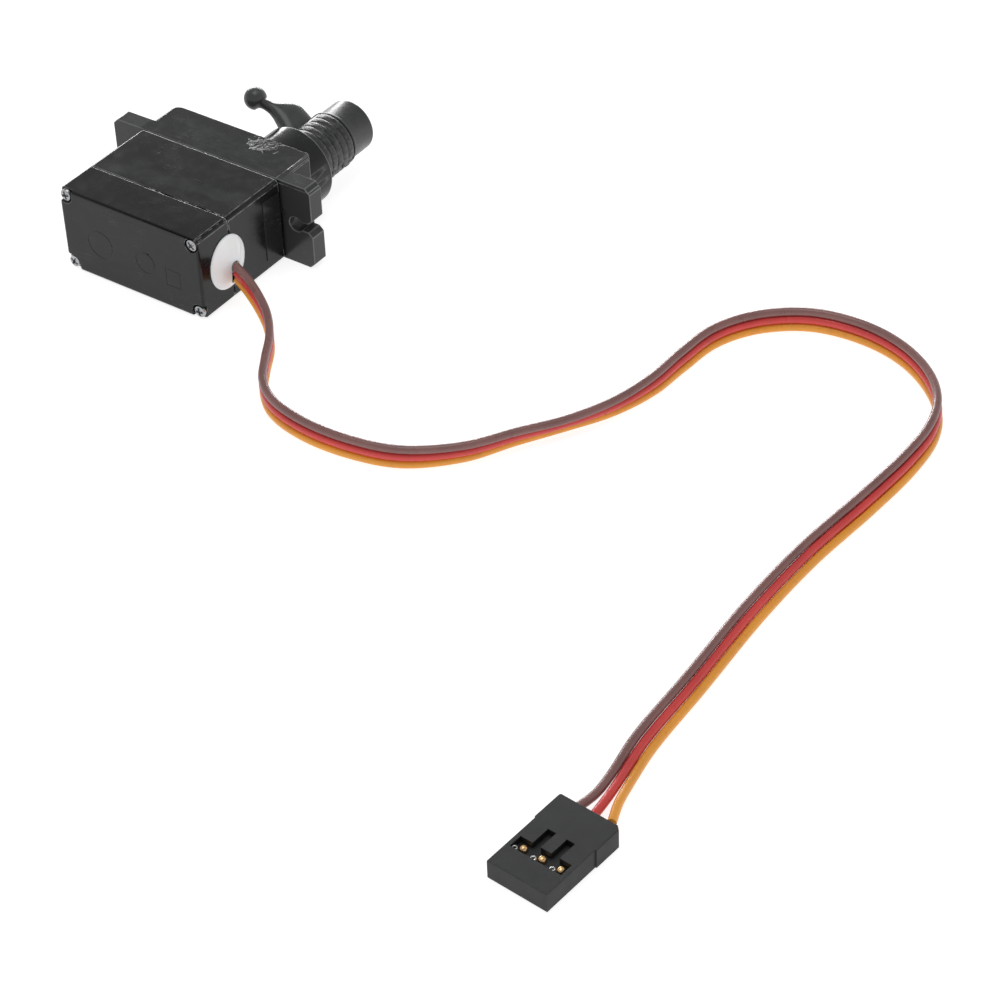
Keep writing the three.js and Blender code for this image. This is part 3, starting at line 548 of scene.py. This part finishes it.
def skin(rings, ends=True, around=False):
    """Points and faces of a surface through rings of equally many points. `around` joins last to first."""
    count = len(rings[0])
    points = [point for ring in rings for point in ring]
    faces = []
    for i in range(len(rings) if around else len(rings) - 1):
        this, following = i * count, ((i + 1) % len(rings)) * count
        for j in range(count):
            k = (j + 1) % count
            faces.append((this + j, this + k, following + k, following + j))
    if ends and not around:
        faces.append(tuple(range(count)))
        faces.append(tuple(range(len(points) - count, len(points))))
    return points, faces


def solid_mesh(name, shape):
    """Mesh of a closed shape of points in mm and faces, its doubled points joined, its faces outwards."""
    mesh = bpy.data.meshes.new(name)
    mesh.from_pydata([Vector(point) * MM for point in shape[0]], [], shape[1])
    bm = bmesh.new()
    bm.from_mesh(mesh)
    bmesh.ops.remove_doubles(bm, verts=bm.verts, dist=0.0004 * MM)
    bmesh.ops.recalc_face_normals(bm, faces=bm.faces)
    bm.to_mesh(mesh)
    bm.free()
    return mesh


def add_piece(name, shape, slot, body, stands_for=(), material=None, sharp=38.0):
    """Makes a closed piece that rides on a body, with its slot's look unless a material is given."""
    return show_mesh(name, solid_mesh(name, shape), material or LOOKS[slot], body, stands_for, sharp)


def show_mesh(name, mesh, material, body, stands_for, sharp):
    """Adds a mesh as a visible piece that rides on a body and stands for CAD nodes."""
    mesh.materials.clear()
    mesh.materials.append(material)
    mesh.shade_smooth()
    mesh.set_sharp_from_angle(angle=math.radians(sharp))
    piece = bpy.data.objects.new(name, mesh)
    bpy.context.scene.collection.objects.link(piece)
    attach(piece, body)
    if stands_for:
        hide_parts(*stands_for)
    return piece


def round_angles(count):
    """Evenly spaced angles of one full turn."""
    return [2 * math.pi * k / count for k in range(count)]


def circle(radius, y, sides, x, z):
    """Ring of points round the Y axis through (x, z)."""
    return [(x + radius * math.cos(a), y, z + radius * math.sin(a)) for a in round_angles(sides)]


def softened(node, name, slot, passes, body="case", material=None, reshape=None):
    """A finer copy of a CAD node, with its sharp outer edges rounded.

    passes is a list of (radius, segments, highlight_share, keep), where keep says by its middle whether an
    edge is rounded, and highlight_share is how strongly the rounding is painted as a highlight.
    reshape moves the points before that.
    """
    bm = bmesh.new()
    bm.from_mesh(NODES[node].data)
    bmesh.ops.remove_doubles(bm, verts=bm.verts, dist=0.003 * MM)
    if reshape:
        for vertex in bm.verts:
            vertex.co = reshape(vertex.co / MM) * MM
    bmesh.ops.dissolve_limit(bm, angle_limit=math.radians(1.0), verts=bm.verts, edges=bm.edges)
    edge_highlight = bm.faces.layers.float.new("edge_highlight")
    for radius, segments, highlight_share, keep in passes:
        edges = [
            edge for edge in bm.edges
            if edge.is_manifold and edge.is_convex
            and edge.calc_face_angle() > math.radians(28)
            and keep((edge.verts[0].co + edge.verts[1].co) / 2 / MM)
        ]
        made = bmesh.ops.bevel(
            bm, geom=edges, offset=radius * MM, segments=segments, profile=0.5,
            affect="EDGES", clamp_overlap=False,
        )
        for face in made["faces"]:
            face[edge_highlight] = highlight_share
    bmesh.ops.remove_doubles(bm, verts=bm.verts, dist=0.002 * MM)
    mesh = bpy.data.meshes.new(name)
    bm.to_mesh(mesh)
    bm.free()
    piece = show_mesh(name, mesh, material or LOOKS[slot], body, [node], 44.0)
    even_shading(piece)
    return piece


def even_shading(piece):
    """Lets the large flat faces keep their own shading up to the rounded edges."""
    weighted = piece.modifiers.new("weighted_normals", "WEIGHTED_NORMAL")
    weighted.keep_sharp = True
    weighted.weight = 80


# ---------------------------------------------------------------- lead

# Middle wire's x, y, z, the ribbon's lean from upright in degrees and the spacing of the wires, as in the
# CAD model.
ROUTE = [
    (12.75, -14.55, 4.5, 0, 1.1),
    (15.4, -15.6, 4.05, -4, 1.1),
    (18.2, -17.0, 3.4, -5, 1.1),
    (21.1, -18.9, 2.65, -3, 1.15),
    (23.8, -21.8, 2.05, 0, 1.15),
    (26.2, -25.85, 1.75, 0, 1.1),
    (28.7, -29.45, 1.7, 0, 1.1),
    (32.2, -32.05, 1.67, -4, 1.15),
    (37.7, -33.45, 1.65, -6, 1.15),
    (44.7, -33.35, 1.63, -7, 1.1),
    (51.7, -31.45, 1.63, -3, 1.1),
    (57.7, -26.45, 1.62, 8, 1.1),
    (61.4, -20.45, 1.58, 18, 1.1),
    (65.1, -14.75, 1.53, 25, 1.1),
    (68.2, -8.85, 1.6, 12, 1.1),
    (69.9, -2.45, 1.63, -5, 1.1),
    (70.3, 4.15, 1.6, -14, 1.1),
    (71.1, 10.65, 1.6, -14, 1.1),
    (74.2, 16.15, 1.61, -12, 1.1),
    (79.7, 20.25, 1.61, -12, 1.1),
    (86.7, 21.45, 1.6, -14, 1.1),
    (93.2, 20.15, 1.62, -10, 1.1),
    (98.7, 16.85, 1.64, -5, 1.15),
    (102.3, 12.65, 1.65, 5, 1.15),
    (104.1, 7.65, 1.57, 20, 1.1),
    (104.5, 1.15, 1.46, 33, 1.1),
    (103.9, -7.85, 1.32, 45, 1.1),
    (102.7, -19.85, 1.18, 55, 1.1),
    (102.5, -31.85, 1.1, 60, 1.1),
    (103.2, -45.85, 1.07, 62, 1.1),
    (103.6, -56.85, 1.0, 68, 1.12),
    (104.55, -63.05, 1.1, 80, 1.14),
    (105.1, -66.6, 1.3, 88, 1.4),
    (105.35, -69.6, 1.35, 90, 2.2),
]
WIRES = {"brown": 1, "red": 0, "orange": -1}
WIRE_RADIUS = 0.55
WIRE_SIDES = 18
STEPS_PER_POINT = 8


def spline_point(points, t):
    """Point of a centripetal Catmull-Rom spline at t, where each pair of points takes 1."""
    i = min(int(t), len(points) - 2)
    share = t - i
    p1, p2 = points[i], points[i + 1]
    p0 = points[i - 1] if i > 0 else 2 * p1 - p2
    p3 = points[i + 2] if i + 2 < len(points) else 2 * p2 - p1
    d0, d1, d2 = ((b - a).length ** 0.5 for a, b in ((p0, p1), (p1, p2), (p2, p3)))
    m1 = ((p1 - p0) / d0 - (p2 - p0) / (d0 + d1) + (p2 - p1) / d1) * d1
    m2 = ((p2 - p1) / d1 - (p3 - p1) / (d1 + d2) + (p3 - p2) / d2) * d1
    square, cube = share * share, share ** 3
    return (
        p1 + m1 * share
        + (-3 * p1 + 3 * p2 - 2 * m1 - m2) * square
        + (2 * p1 - 2 * p2 + m1 + m2) * cube
    )


def spline_along(points, t):
    """Direction of the spline at t, from two points close to it."""
    small = 0.003
    ahead = spline_point(points, min(t + small, len(points) - 1))
    return (ahead - spline_point(points, max(t - small, 0))).normalized()


def wire_centreline(side):
    """Points of one wire's centreline, offset across the ribbon from the middle wire."""
    middle = [Vector(row[:3]) for row in ROUTE]
    points = []
    for i, (x, y, z, lean, spacing) in enumerate(ROUTE):
        along = spline_along(middle, i)
        right = Vector((along.y, -along.x, 0)).normalized()
        angle = math.radians(lean)
        across = math.sin(angle) * right + Vector((0, 0, math.cos(angle)))
        points.append(middle[i] + side * spacing * across)
    count = (len(points) - 1) * STEPS_PER_POINT
    return [spline_point(points, i / STEPS_PER_POINT) for i in range(count + 1)]


def wire_tube(line):
    """Round tube along a line of points, with faintly uneven thickness."""
    rings = []
    for i, point in enumerate(line):
        along = (line[min(i + 1, len(line) - 1)] - line[max(i - 1, 0)]).normalized()
        side = along.cross(Vector((0, 0, 1))).normalized()
        up = side.cross(along)
        radius = WIRE_RADIUS * (1 + 0.012 * noise.noise(point * 0.45))
        rings.append([
            point + radius * (math.cos(a) * side + math.sin(a) * up)
            for a in round_angles(WIRE_SIDES)
        ])
    return skin(rings)


def make_lead():
    wires = {}
    for colour, side in WIRES.items():
        line = wire_centreline(side)
        name = f"wire_{colour}"
        piece = add_piece(name, wire_tube(line), name, "case", [f"lead_{colour}"], sharp=60.0)
        wires[colour] = (piece, line)
    return wires


# ---------------------------------------------------------------- plug

PLUG_FRONT = (104.3, -82.55)
PLUG_YAW = math.radians(85.2)
PLUG_LENGTH = 12.5
PLUG_STEP = 8.1
PLUG_TOP = 2.68
PLUG_HALF_NOSE = 4.05
PLUG_HALF_GRIP = 4.2
PLUG_PITCH = 2.54
PLUG_WINDOW = (3.1, 4.9)  # ends of the open row, from the mating face
PLUG_WINDOW_HALF = 3.45
PLUG_SLOT_END = 7.5
PLUG_SLOT = 1.1
PLUG_RECESS = 0.85


def in_plug(along, across, height):
    """Turns a place measured from the plug's mating face into the model's frame."""
    c, s = math.cos(PLUG_YAW), math.sin(PLUG_YAW)
    return (PLUG_FRONT[0] + along * c - across * s, PLUG_FRONT[1] + along * s + across * c, height)


def blob(centre, sizes, rings=10, sides=18):
    """Rounded pebble, sizes being its half lengths along, across and up, in the plug's frame."""
    shape = []
    for i in range(rings + 1):
        polar = math.pi * i / rings
        shape.append([
            in_plug(
                centre[0] + sizes[0] * math.sin(polar) * math.cos(a),
                centre[1] + sizes[1] * math.sin(polar) * math.sin(a),
                centre[2] - sizes[2] * math.cos(polar),
            )
            for a in round_angles(sides)
        ])
    return skin(shape, ends=False)


def curl(centre, radius, thickness, sides=20):
    """Small bent-over loop of sheet metal, standing across the plug."""
    rings = []
    for a in round_angles(sides):
        section = []
        for b in round_angles(8):
            r = radius + thickness * math.cos(b)
            section.append(in_plug(
                centre[0] + r * math.cos(a),
                centre[1] + r * math.sin(a) * 1.1,
                centre[2] + thickness * math.sin(b),
            ))
        rings.append(section)
    return skin(rings, around=True)


def inset(outline, distance):
    """Moves the sides of a closed outline inwards by a distance."""
    points = [Vector(point) for point in outline]
    moved = []
    for i, point in enumerate(points):
        before = (point - points[i - 1]).normalized()
        after = (points[(i + 1) % len(points)] - point).normalized()
        normals = [Vector((-d.y, d.x)) for d in (before, after)]
        middle = (normals[0] + normals[1]).normalized()
        moved.append(tuple(point + middle * distance / max(middle.dot(normals[0]), 0.4)))
    return moved


def plug_outline():
    """Plan of the housing as (along, across), anticlockwise, its rear corners cut."""
    nose, grip, end, cut = PLUG_HALF_NOSE, PLUG_HALF_GRIP, PLUG_LENGTH, 0.55
    return [
        (0, -nose), (PLUG_STEP, -nose), (PLUG_STEP + 0.05, -grip), (end - cut, -grip), (end, -grip + cut),
        (end, grip - 0.2), (end - 0.2, grip), (PLUG_STEP + 0.05, grip), (PLUG_STEP, nose), (0, nose),
    ]


def plug_block(low, high, left, right, floor, top=PLUG_TOP + 1):
    """Oblong cutter in the plug's frame: from low to high along it, and right to left across it."""
    corners = [(low, right), (high, right), (high, left), (low, left)]
    return skin([[in_plug(x, y, z) for x, y in corners] for z in (floor, top)])


def plug_shell():
    """Housing with rounded edges, an open row over the contacts and two slots between three tongues."""
    outline = plug_outline()
    layers = [
        (0.10, 0.0), (0.03, 0.03), (0.0, 0.10),
        (0.0, PLUG_TOP - 0.16), (0.05, PLUG_TOP - 0.05), (0.16, PLUG_TOP),
    ]
    rings = [[in_plug(x, y, z) for x, y in inset(outline, edge)] for edge, z in layers]
    shell = add_piece("plug_shell", skin(rings), "plug_plastic", "case", ["plug_housing"], sharp=35.0)
    floor = PLUG_TOP - PLUG_RECESS
    first, last = PLUG_WINDOW
    carve(shell, plug_block(first, last, PLUG_WINDOW_HALF, -PLUG_WINDOW_HALF, floor))
    for across in (-PLUG_PITCH / 2, PLUG_PITCH / 2):
        left, right = across + PLUG_SLOT / 2, across - PLUG_SLOT / 2
        carve(shell, plug_block(last - 0.02, PLUG_SLOT_END, left, right, floor + 0.001))
    shell.data.set_sharp_from_angle(angle=math.radians(35))
    even_shading(shell)
    return shell


def make_plug():
    """Housing, and in each window the contact's raised latch and its curled tip."""
    pieces = [plug_shell()]
    for i in range(3):
        across = (i - 1) * PLUG_PITCH
        node = f"plug_contact_{i + 1}"
        latch_edges = (0.05, 2, 0.0, lambda p: p.z > 1.5)
        contact = softened(node, f"contact_{i + 1}", "brass", [latch_edges], material=GOLD)
        shape = blob((PLUG_WINDOW[0] + 0.93, across - 0.15, 2.05), (0.56, 0.50, 0.45))
        latch = add_piece(f"contact_latch_{i + 1}", shape, "brass", "case", material=GOLD)
        shape = curl((PLUG_WINDOW[0] + 0.28, across + 0.5, 2.42), 0.24, 0.09)
        tip = add_piece(f"contact_tip_{i + 1}", shape, "brass", "case", material=LOOKS["motor_steel"])
        pieces += [contact, latch, tip]
    return pieces


# ---------------------------------------------------------------- case


def near_screw(point, reach):
    return any(math.hypot(point.x - s.x, point.z - s.z) < reach for s in SCREWS)


def on_outside(point):
    """True on the case's outer walls, away from the grommet's hole."""
    outer = abs(point.x) > HALF_LENGTH - 0.25 or abs(point.z - CENTRE_Z) > HALF_WIDTH - 0.25
    reach = math.hypot(point.y - GROMMET_CENTRE.y, point.z - GROMMET_CENTRE.z)
    return outer and not (point.x > 0 and abs(point.x) > HALF_LENGTH - 1 and reach < 3.7)


def cover_edges(point):
    in_notch = near_screw(point, 1.45) and not near_screw(point, 0.7) and point.y < END_FACE + 0.7
    return in_notch or (on_outside(point) and point.y > END_FACE + 0.6 and point.y < COVER_HIGH.y - 0.1)


def cover_rim(point):
    return on_outside(point) and point.y > COVER_HIGH.y - 0.05


def middle_near_rim(point):
    return on_outside(point) and point.y < MIDDLE_LOW.y + 0.05


def middle_far_rim(point):
    return on_outside(point) and point.y > MIDDLE_HIGH.y - 0.05


def top_edges(point):
    """Everything outside on the top case but the bores round the output axis."""
    from_axis = math.hypot(point.x - AXIS.x, point.z - AXIS.z)
    if point.y > BOSS_TOP - 6 and from_axis < 5.2:
        return False
    inside = abs(point.x) < HALF_LENGTH - 0.85 and abs(point.z - CENTRE_Z) < HALF_WIDTH - 0.85
    return not (inside and point.y < BOSS_TOP - 5.1) and not near_screw(point, 0.6)


def shallow_marks(point):
    """Brings the floor of the cover's moulded marks closer to its face."""
    cad_depth, depth = 0.12, 0.03
    on_floor = abs(point.y - END_FACE - cad_depth) < 0.01 and not near_screw(point, 1.6)
    return Vector((point.x, END_FACE + depth, point.z)) if on_floor else point


def make_case():
    softened(
        "bottom_cover", "cover_shell", "case_plastic",
        [(0.09, 2, 0.35, cover_edges), (0.22, 4, 1.0, cover_rim)], reshape=shallow_marks,
    )
    softened(
        "middle_case", "middle_shell", "case_plastic",
        [(0.07, 2, 0.8, middle_near_rim), (0.24, 4, 1.0, middle_far_rim)],
    )
    softened("top_case", "top_shell", "case_plastic", [(0.12, 2, 0.4, top_edges)])


def glue_patch():
    """Thin crumpled smear of glue on the housing's upper side, beside the boss."""
    columns, rows = 44, 26
    low_x, high_x = 2.1, 7.6
    low_y, high_y = GLUE_FRONT, TOP_HIGH.y - 4.95
    top = []
    for j in range(rows + 1):
        for i in range(columns + 1):
            u, v = i / columns, j / rows
            x, y = low_x + (high_x - low_x) * u, low_y + (high_y - low_y) * v
            ragged = 0.75 * noise.noise(Vector((x * 1.1, y * 1.3, 4.0)))
            rim = 1 - math.hypot(2 * u - 1, min(0.0, 2 * v - 1) * 0.85)
            inside = min(1.0, max(0.0, (rim - 0.1 + ragged * (1 - rim)) * 4))
            crumple = noise.noise(Vector((x * 2.3, y * 3.0, 1.0)))
            crumple += 0.6 * noise.noise(Vector((x * 5.5, y * 6.0, 2.0)))
            height = TOP_HIGH.z - 0.04 + inside * (0.08 + 0.09 * crumple)
            top.append((x, y, height))
    points = top + [(x, y, TOP_HIGH.z - 0.25) for x, y, _ in top]
    below, wide = len(top), columns + 1
    faces = []
    for j in range(rows):
        for i in range(columns):
            a = j * wide + i
            square = (a, a + 1, a + wide + 1, a + wide)
            faces += [square, tuple(below + k for k in reversed(square))]
    rim = [i for i in range(wide)] + [j * wide + columns for j in range(1, rows + 1)]
    rim += [rows * wide + i for i in range(columns - 1, -1, -1)] + [j * wide for j in range(rows - 1, 0, -1)]
    for a, b in zip(rim, rim[1:] + rim[:1]):
        faces.append((a, below + a, below + b, b))
    add_piece("glue_patch", (points, faces), "case_plastic", "case", material=GLUE, sharp=80.0)


def cross_depth(x, z, arm, half, soft):
    """1 inside a cross of arm length and half width, falling to 0 at its rim."""
    def inside(u, v):
        along = min(1.0, max(0.0, (arm - abs(u)) / soft))
        across = min(1.0, max(0.0, (half - abs(v)) / soft))
        return min(along, across)
    return max(inside(x, z), inside(z, x))


def screw_head(centre, head_y, seat_y, tip_y, turn):
    """Domed head with a cross recess, and a threaded shank."""
    radius = 0.85
    sides = 72
    rings = []
    for i in range(1, 25):
        r = radius * 0.94 * i / 24
        ring = []
        for a in round_angles(sides):
            x, z = r * math.cos(a), r * math.sin(a)
            dome = 0.16 * (r / radius) ** 2
            dent = 0.36 * cross_depth(x, z, 0.60, 0.17, 0.06)
            ring.append(at_screw(centre, turn, x, head_y + dome + dent, z))
        rings.append(ring)
    profile = [(radius, head_y + 0.24), (radius, seat_y - 0.04), (radius - 0.05, seat_y), (0.4, seat_y)]
    pitch = 0.5
    y = seat_y + 0.3
    while y < tip_y - 0.8:
        profile += [(0.33, y), (0.41, y + pitch / 2)]
        y += pitch
    profile += [(0.33, tip_y - 0.6), (0.04, tip_y)]
    for r, y in profile:
        rings.append([at_screw(centre, turn, x, y, z) for x, _, z in circle(r, y, sides, 0, 0)])
    return skin(rings)


def at_screw(centre, turn, x, y, z):
    c, s = math.cos(turn), math.sin(turn)
    return (centre.x + x * c - z * s, y, centre.z + x * s + z * c)


def make_screws():
    turns = [0.3, 0.75, 0.15, 1.0]
    for i, (centre, turn) in enumerate(zip(SCREWS, turns), start=1):
        low, high = box_mm(f"case_screw_{i}")
        shape = screw_head(centre, low.y, low.y + 0.6, high.y, turn)
        add_piece(f"screw_{i}", shape, "screw_steel", "case", [f"case_screw_{i}"])


# ---------------------------------------------------------------- grommet


def grommet_height(y, z, radius, disc):
    """How far the dome stands off the wall, with a soft fold past the slot and dents round it."""
    share = radius / disc
    dome = 0.62 * (1 - share ** 2.2)
    fold = math.exp(-((y - 1.75 - 0.30 * z) / 0.38) ** 2) * (1 if z < 2.0 else 0.4)
    valley = math.exp(-((y - 2.45 - 0.30 * z) / 0.30) ** 2)
    dent = 0.16 * noise.noise(Vector((y * 0.5, z * 0.5, 3.0)))
    return max(0.0, dome + (0.30 * fold - 0.16 * valley + dent) * (1 - share ** 3))


def make_grommet():
    """Disc, neck and slot; the slot is cut as an opening that the three wires fill."""
    disc = (GROMMET_HIGH.z - GROMMET_LOW.z) / 2
    narrow = (GROMMET_HIGH.y - GROMMET_LOW.y) / 2 / disc
    face = HALF_LENGTH + 0.02
    sides = 96
    rings = []
    for i in range(1, 27):
        radius = disc * 0.985 * i / 26
        ring = []
        for a in round_angles(sides):
            y, z = radius * narrow * math.cos(a), radius * math.sin(a)
            x = face + 0.17 + 0.9 * grommet_height(y, z, radius, disc)
            ring.append((x, GROMMET_CENTRE.y + y, GROMMET_CENTRE.z + z))
        rings.append(ring)
    neck = disc * 0.8
    for radius, x in [(disc, face + 0.10), (disc, face + 0.02), (disc - 0.03, face), (neck, face),
                      (neck, GROMMET_LOW.x + 0.1), (neck - 0.1, GROMMET_LOW.x)]:
        rings.append([
            (x, GROMMET_CENTRE.y + radius * narrow * math.cos(a), GROMMET_CENTRE.z + radius * math.sin(a))
            for a in round_angles(sides)
        ])
    piece = add_piece("grommet_cap", skin(rings), "white_nylon", "case", ["grommet"], sharp=50.0)
    start = wire_centreline(0)[0]
    carve(piece, slot_tool(start.y + 0.05, start.z, GROMMET_LOW.x - 1, GROMMET_HIGH.x + 1))


def slot_tool(y, z, x0, x1):
    """Upright slot with round ends, as a cutter along X."""
    half, reach, steps = 0.66, 1.12, 10
    outline = []
    for i in range(2 * steps):
        a = math.pi * i / (steps - 1) if i < steps else math.pi * (i - 1) / (steps - 1)
        centre = reach if i < steps else -reach
        outline.append((y + half * math.cos(a), z + centre + half * math.sin(a)))
    return skin([[(x, v, w) for v, w in outline] for x in (x0, x1)])


def carve(piece, tool_shape):
    """Cuts a closed shape out of a piece and keeps the result as its mesh."""
    cutter = bpy.data.objects.new("cutter", solid_mesh("cutter", tool_shape))
    bpy.context.scene.collection.objects.link(cutter)
    boolean = piece.modifiers.new("cut", "BOOLEAN")
    boolean.operation = "DIFFERENCE"
    boolean.solver = "EXACT"
    boolean.object = cutter
    bpy.context.view_layer.update()
    evaluated = piece.evaluated_get(bpy.context.evaluated_depsgraph_get())
    carved = bpy.data.meshes.new_from_object(evaluated)
    piece.modifiers.clear()
    piece.data = carved
    bpy.data.objects.remove(cutter)


# ---------------------------------------------------------------- servo saver horn

ARM_ANGLE = math.radians(150)
SLEEVE = (1.05, 7.1)  # lowest and highest height over the boss
SLEEVE_RADII = (3.02, 3.42)
RING_GAP = math.radians(42)  # half of a ring's opening
BALL_REACH = 11.2
BALL_HEIGHT = 3.2
BALL_RADIUS = 1.62
CAP_RADIUS = 3.8
# Arm's sections: distance from the axis, lowest and highest height, half thickness
ARM_SECTIONS = [
    (3.32, 1.45, 7.08, 1.30), (4.0, 1.6, 7.12, 1.35), (5.2, 2.1, 7.32, 1.35), (6.2, 2.55, 7.42, 1.30),
    (6.9, 2.8, 7.22, 1.22), (7.4, 2.98, 6.75, 1.12), (7.9, 3.1, 5.95, 1.02), (8.4, 3.18, 5.2, 0.92),
    (9.0, 3.10, 4.62, 0.80), (9.5, 2.95, 4.4, 0.77), (9.8, 2.78, 4.25, 0.80), (10.05, 2.50, 4.05, 0.86),
]


def on_horn(along, across, height):
    """Turns a place by the arm's direction and height over the boss into the model's frame."""
    c, s = math.cos(ARM_ANGLE), math.sin(ARM_ANGLE)
    return (AXIS.x + along * c - across * s, BOSS_TOP + height, AXIS.z + along * s + across * c)


def arm_section(along, low, high, half, fullness=2.6, sides=32):
    """Rounded, nearly oblong section of the arm."""
    middle, reach = (low + high) / 2, (high - low) / 2
    ring = []
    for a in round_angles(sides):
        c, s = math.cos(a), math.sin(a)
        across = half * math.copysign(abs(c) ** (2 / fullness), c)
        up = reach * math.copysign(abs(s) ** (2 / fullness), s)
        ring.append(on_horn(along, across, middle + up))
    return ring


def between_sections(sections, steps):
    """Adds stations between the arm's sections along a smooth curve."""
    points = [Vector(section) for section in sections]
    last = (len(points) - 1) * steps
    return [tuple(spline_point(points, i / steps)) for i in range(last + 1)]


def make_arm():
    rings = []
    for along, low, high, half in between_sections(ARM_SECTIONS, 3):
        share = (along - ARM_SECTIONS[0][0]) / (ARM_SECTIONS[-1][0] - ARM_SECTIONS[0][0])
        rings.append(arm_section(along, low, high, half, 3.2 - 1.2 * share))
    first_angle = math.acos((BALL_REACH - ARM_SECTIONS[-1][0]) / BALL_RADIUS) + 0.16
    steps = 16
    for i in range(steps + 1):
        a = first_angle + (math.pi - first_angle) * i / steps
        reach = max(BALL_RADIUS * math.sin(a), 1e-5)
        along = BALL_REACH - BALL_RADIUS * math.cos(a)
        rings.append(arm_section(along, BALL_HEIGHT - reach, BALL_HEIGHT + reach, reach, 2.0))
    add_piece("arm_fin", skin(rings), "horn_plastic", "arm", ["horn_arm"], LIT_ARM_PLASTIC, 50.0)
    inner, outer = SLEEVE_RADII
    low, high = SLEEVE
    profile = [(inner, low), (outer - 0.06, low), (outer, low + 0.06), (outer, high - 0.06),
               (outer - 0.06, high), (inner, high)]
    add_piece("arm_sleeve", horn_turned(profile, 72), "horn_plastic", "arm", ["horn_arm"])


def horn_turned(profile, sides):
    """Closed ring round the output axis, from [radius, height] pairs that go once round its section."""
    rings = [circle(radius, BOSS_TOP + height, sides, AXIS.x, AXIS.z) for radius, height in profile]
    return skin(rings, around=True)


def saver_ring(index, low, high):
    """Open spring ring with a slightly uneven outer edge, nicked on the side away from the arm."""
    inner, outer = 3.48, 4.17
    count = 120
    spread = 0.10
    low, high = low - spread, high + spread
    middle = (low + high) / 2
    rings = []
    for i in range(count + 1):
        a = RING_GAP + (2 * math.pi - 2 * RING_GAP) * i / count
        wave = noise.noise(Vector((math.cos(a) * 2.2, math.sin(a) * 2.2, index * 5.3)))
        rough = noise.noise(Vector((math.cos(a) * 9, math.sin(a) * 9, index * 7.7)))
        lift = 0.03 * noise.noise(Vector((math.cos(a) * 2.5, math.sin(a) * 2.5, 1.0)))
        nicked = max(0.0, 1 - abs(a - math.radians(174)) / math.radians(35))
        edge = outer - 0.04 + 0.03 * wave + (0.02 + 0.22 * nicked) * rough
        section = [
            (inner, low + 0.05), (inner + 0.05, low), (edge - 0.06, low + lift),
            (edge - 0.02, low + 0.05 + lift), (edge, middle - 0.22 + lift),
            (edge + 0.01, middle + 0.18 + lift), (edge - 0.02, high - 0.06 + lift),
            (edge - 0.07, high + lift), (inner + 0.05, high), (inner, high - 0.05),
        ]
        rings.append([on_horn(r * math.cos(a), r * math.sin(a), y) for r, y in section])
    return skin(rings)


def make_rings():
    for i in range(1, 6):
        low, high = box_mm(f"saver_ring_{i}")
        shape = saver_ring(i, low.y - BOSS_TOP, high.y - BOSS_TOP)
        add_piece(f"ring_{i}", shape, "ring_steel", "output", [f"saver_ring_{i}"])


def make_cap():
    """Cap with a thin lip, a rounded rim and a hole for the screwdriver."""
    low, high = (corner.y - BOSS_TOP for corner in box_mm("horn_cap"))
    rim = 0.5
    steps = 8
    profile = [(2.98, low), (4.04, low), (4.08, low + 0.05), (4.08, low + 0.28), (4.0, low + 0.40),
               (CAP_RADIUS + 0.06, low + 0.52), (CAP_RADIUS, low + 0.68)]
    for i in range(steps + 1):
        a = math.pi / 2 * i / steps
        profile.append((CAP_RADIUS - rim + rim * math.cos(a), high - rim + rim * math.sin(a)))
    profile += [(2.0, high), (1.9, high - 0.1), (1.9, high - 1.6), (2.98, high - 1.6)]
    add_piece("cap_shell", horn_turned(profile, 96), "horn_plastic", "output", ["horn_cap"])


def make_horn():
    make_arm()
    make_rings()
    make_cap()


# ---------------------------------------------------------------- looks of the CAD parts that stay

KEPT = {
    "motor_steel": ["motor_can", "rotor_shaft", "layshaft"],
    "white_nylon": ["motor_end_cap", "gear_1", "gear_2", "gear_3", "output_gear", "potentiometer_shaft"],
    "brass": [
        "motor_terminal_1", "motor_terminal_2", "motor_pinion", "output_bushing", "board_capacitor",
        "potentiometer_pin_1", "potentiometer_pin_2", "potentiometer_pin_3",
    ],
    "chip_black": ["potentiometer_body", "controller_chip", "driver_chip_1", "driver_chip_2"],
    "board_green": ["circuit_board"],
    "screw_steel": ["horn_screw"],
    "horn_plastic": ["horn_hub", "horn_arm", "horn_cap"],
    "case_plastic": ["bottom_cover", "middle_case", "top_case"],
    "ring_steel": [f"saver_ring_{i}" for i in range(1, 6)],
    "plug_plastic": ["plug_housing"],
}


def paint_cad_nodes():
    """Gives every CAD node its material, also those that a finer piece stands for."""
    slots = {node: slot for slot, nodes in KEPT.items() for node in nodes}
    slots.update({f"lead_{colour}": f"wire_{colour}" for colour in WIRES})
    slots.update({f"plug_contact_{i}": "brass" for i in range(1, 4)})
    slots.update({f"case_screw_{i}": "screw_steel" for i in range(1, 5)})
    slots["grommet"] = "white_nylon"
    for node, piece in NODES.items():
        piece.data.materials.clear()
        piece.data.materials.append(LOOKS[slots[node]])


# ---------------------------------------------------------------- scene

bpy.context.scene.view_settings.view_transform = "Standard"
make_camera()
wires = make_lead()
plug_pieces = make_plug()
make_world()
for softbox in SOFTBOXES:
    make_softbox(*softbox)
make_floor()
make_case()
glue_patch()
make_screws()
make_grommet()
make_horn()
paint_cad_nodes()
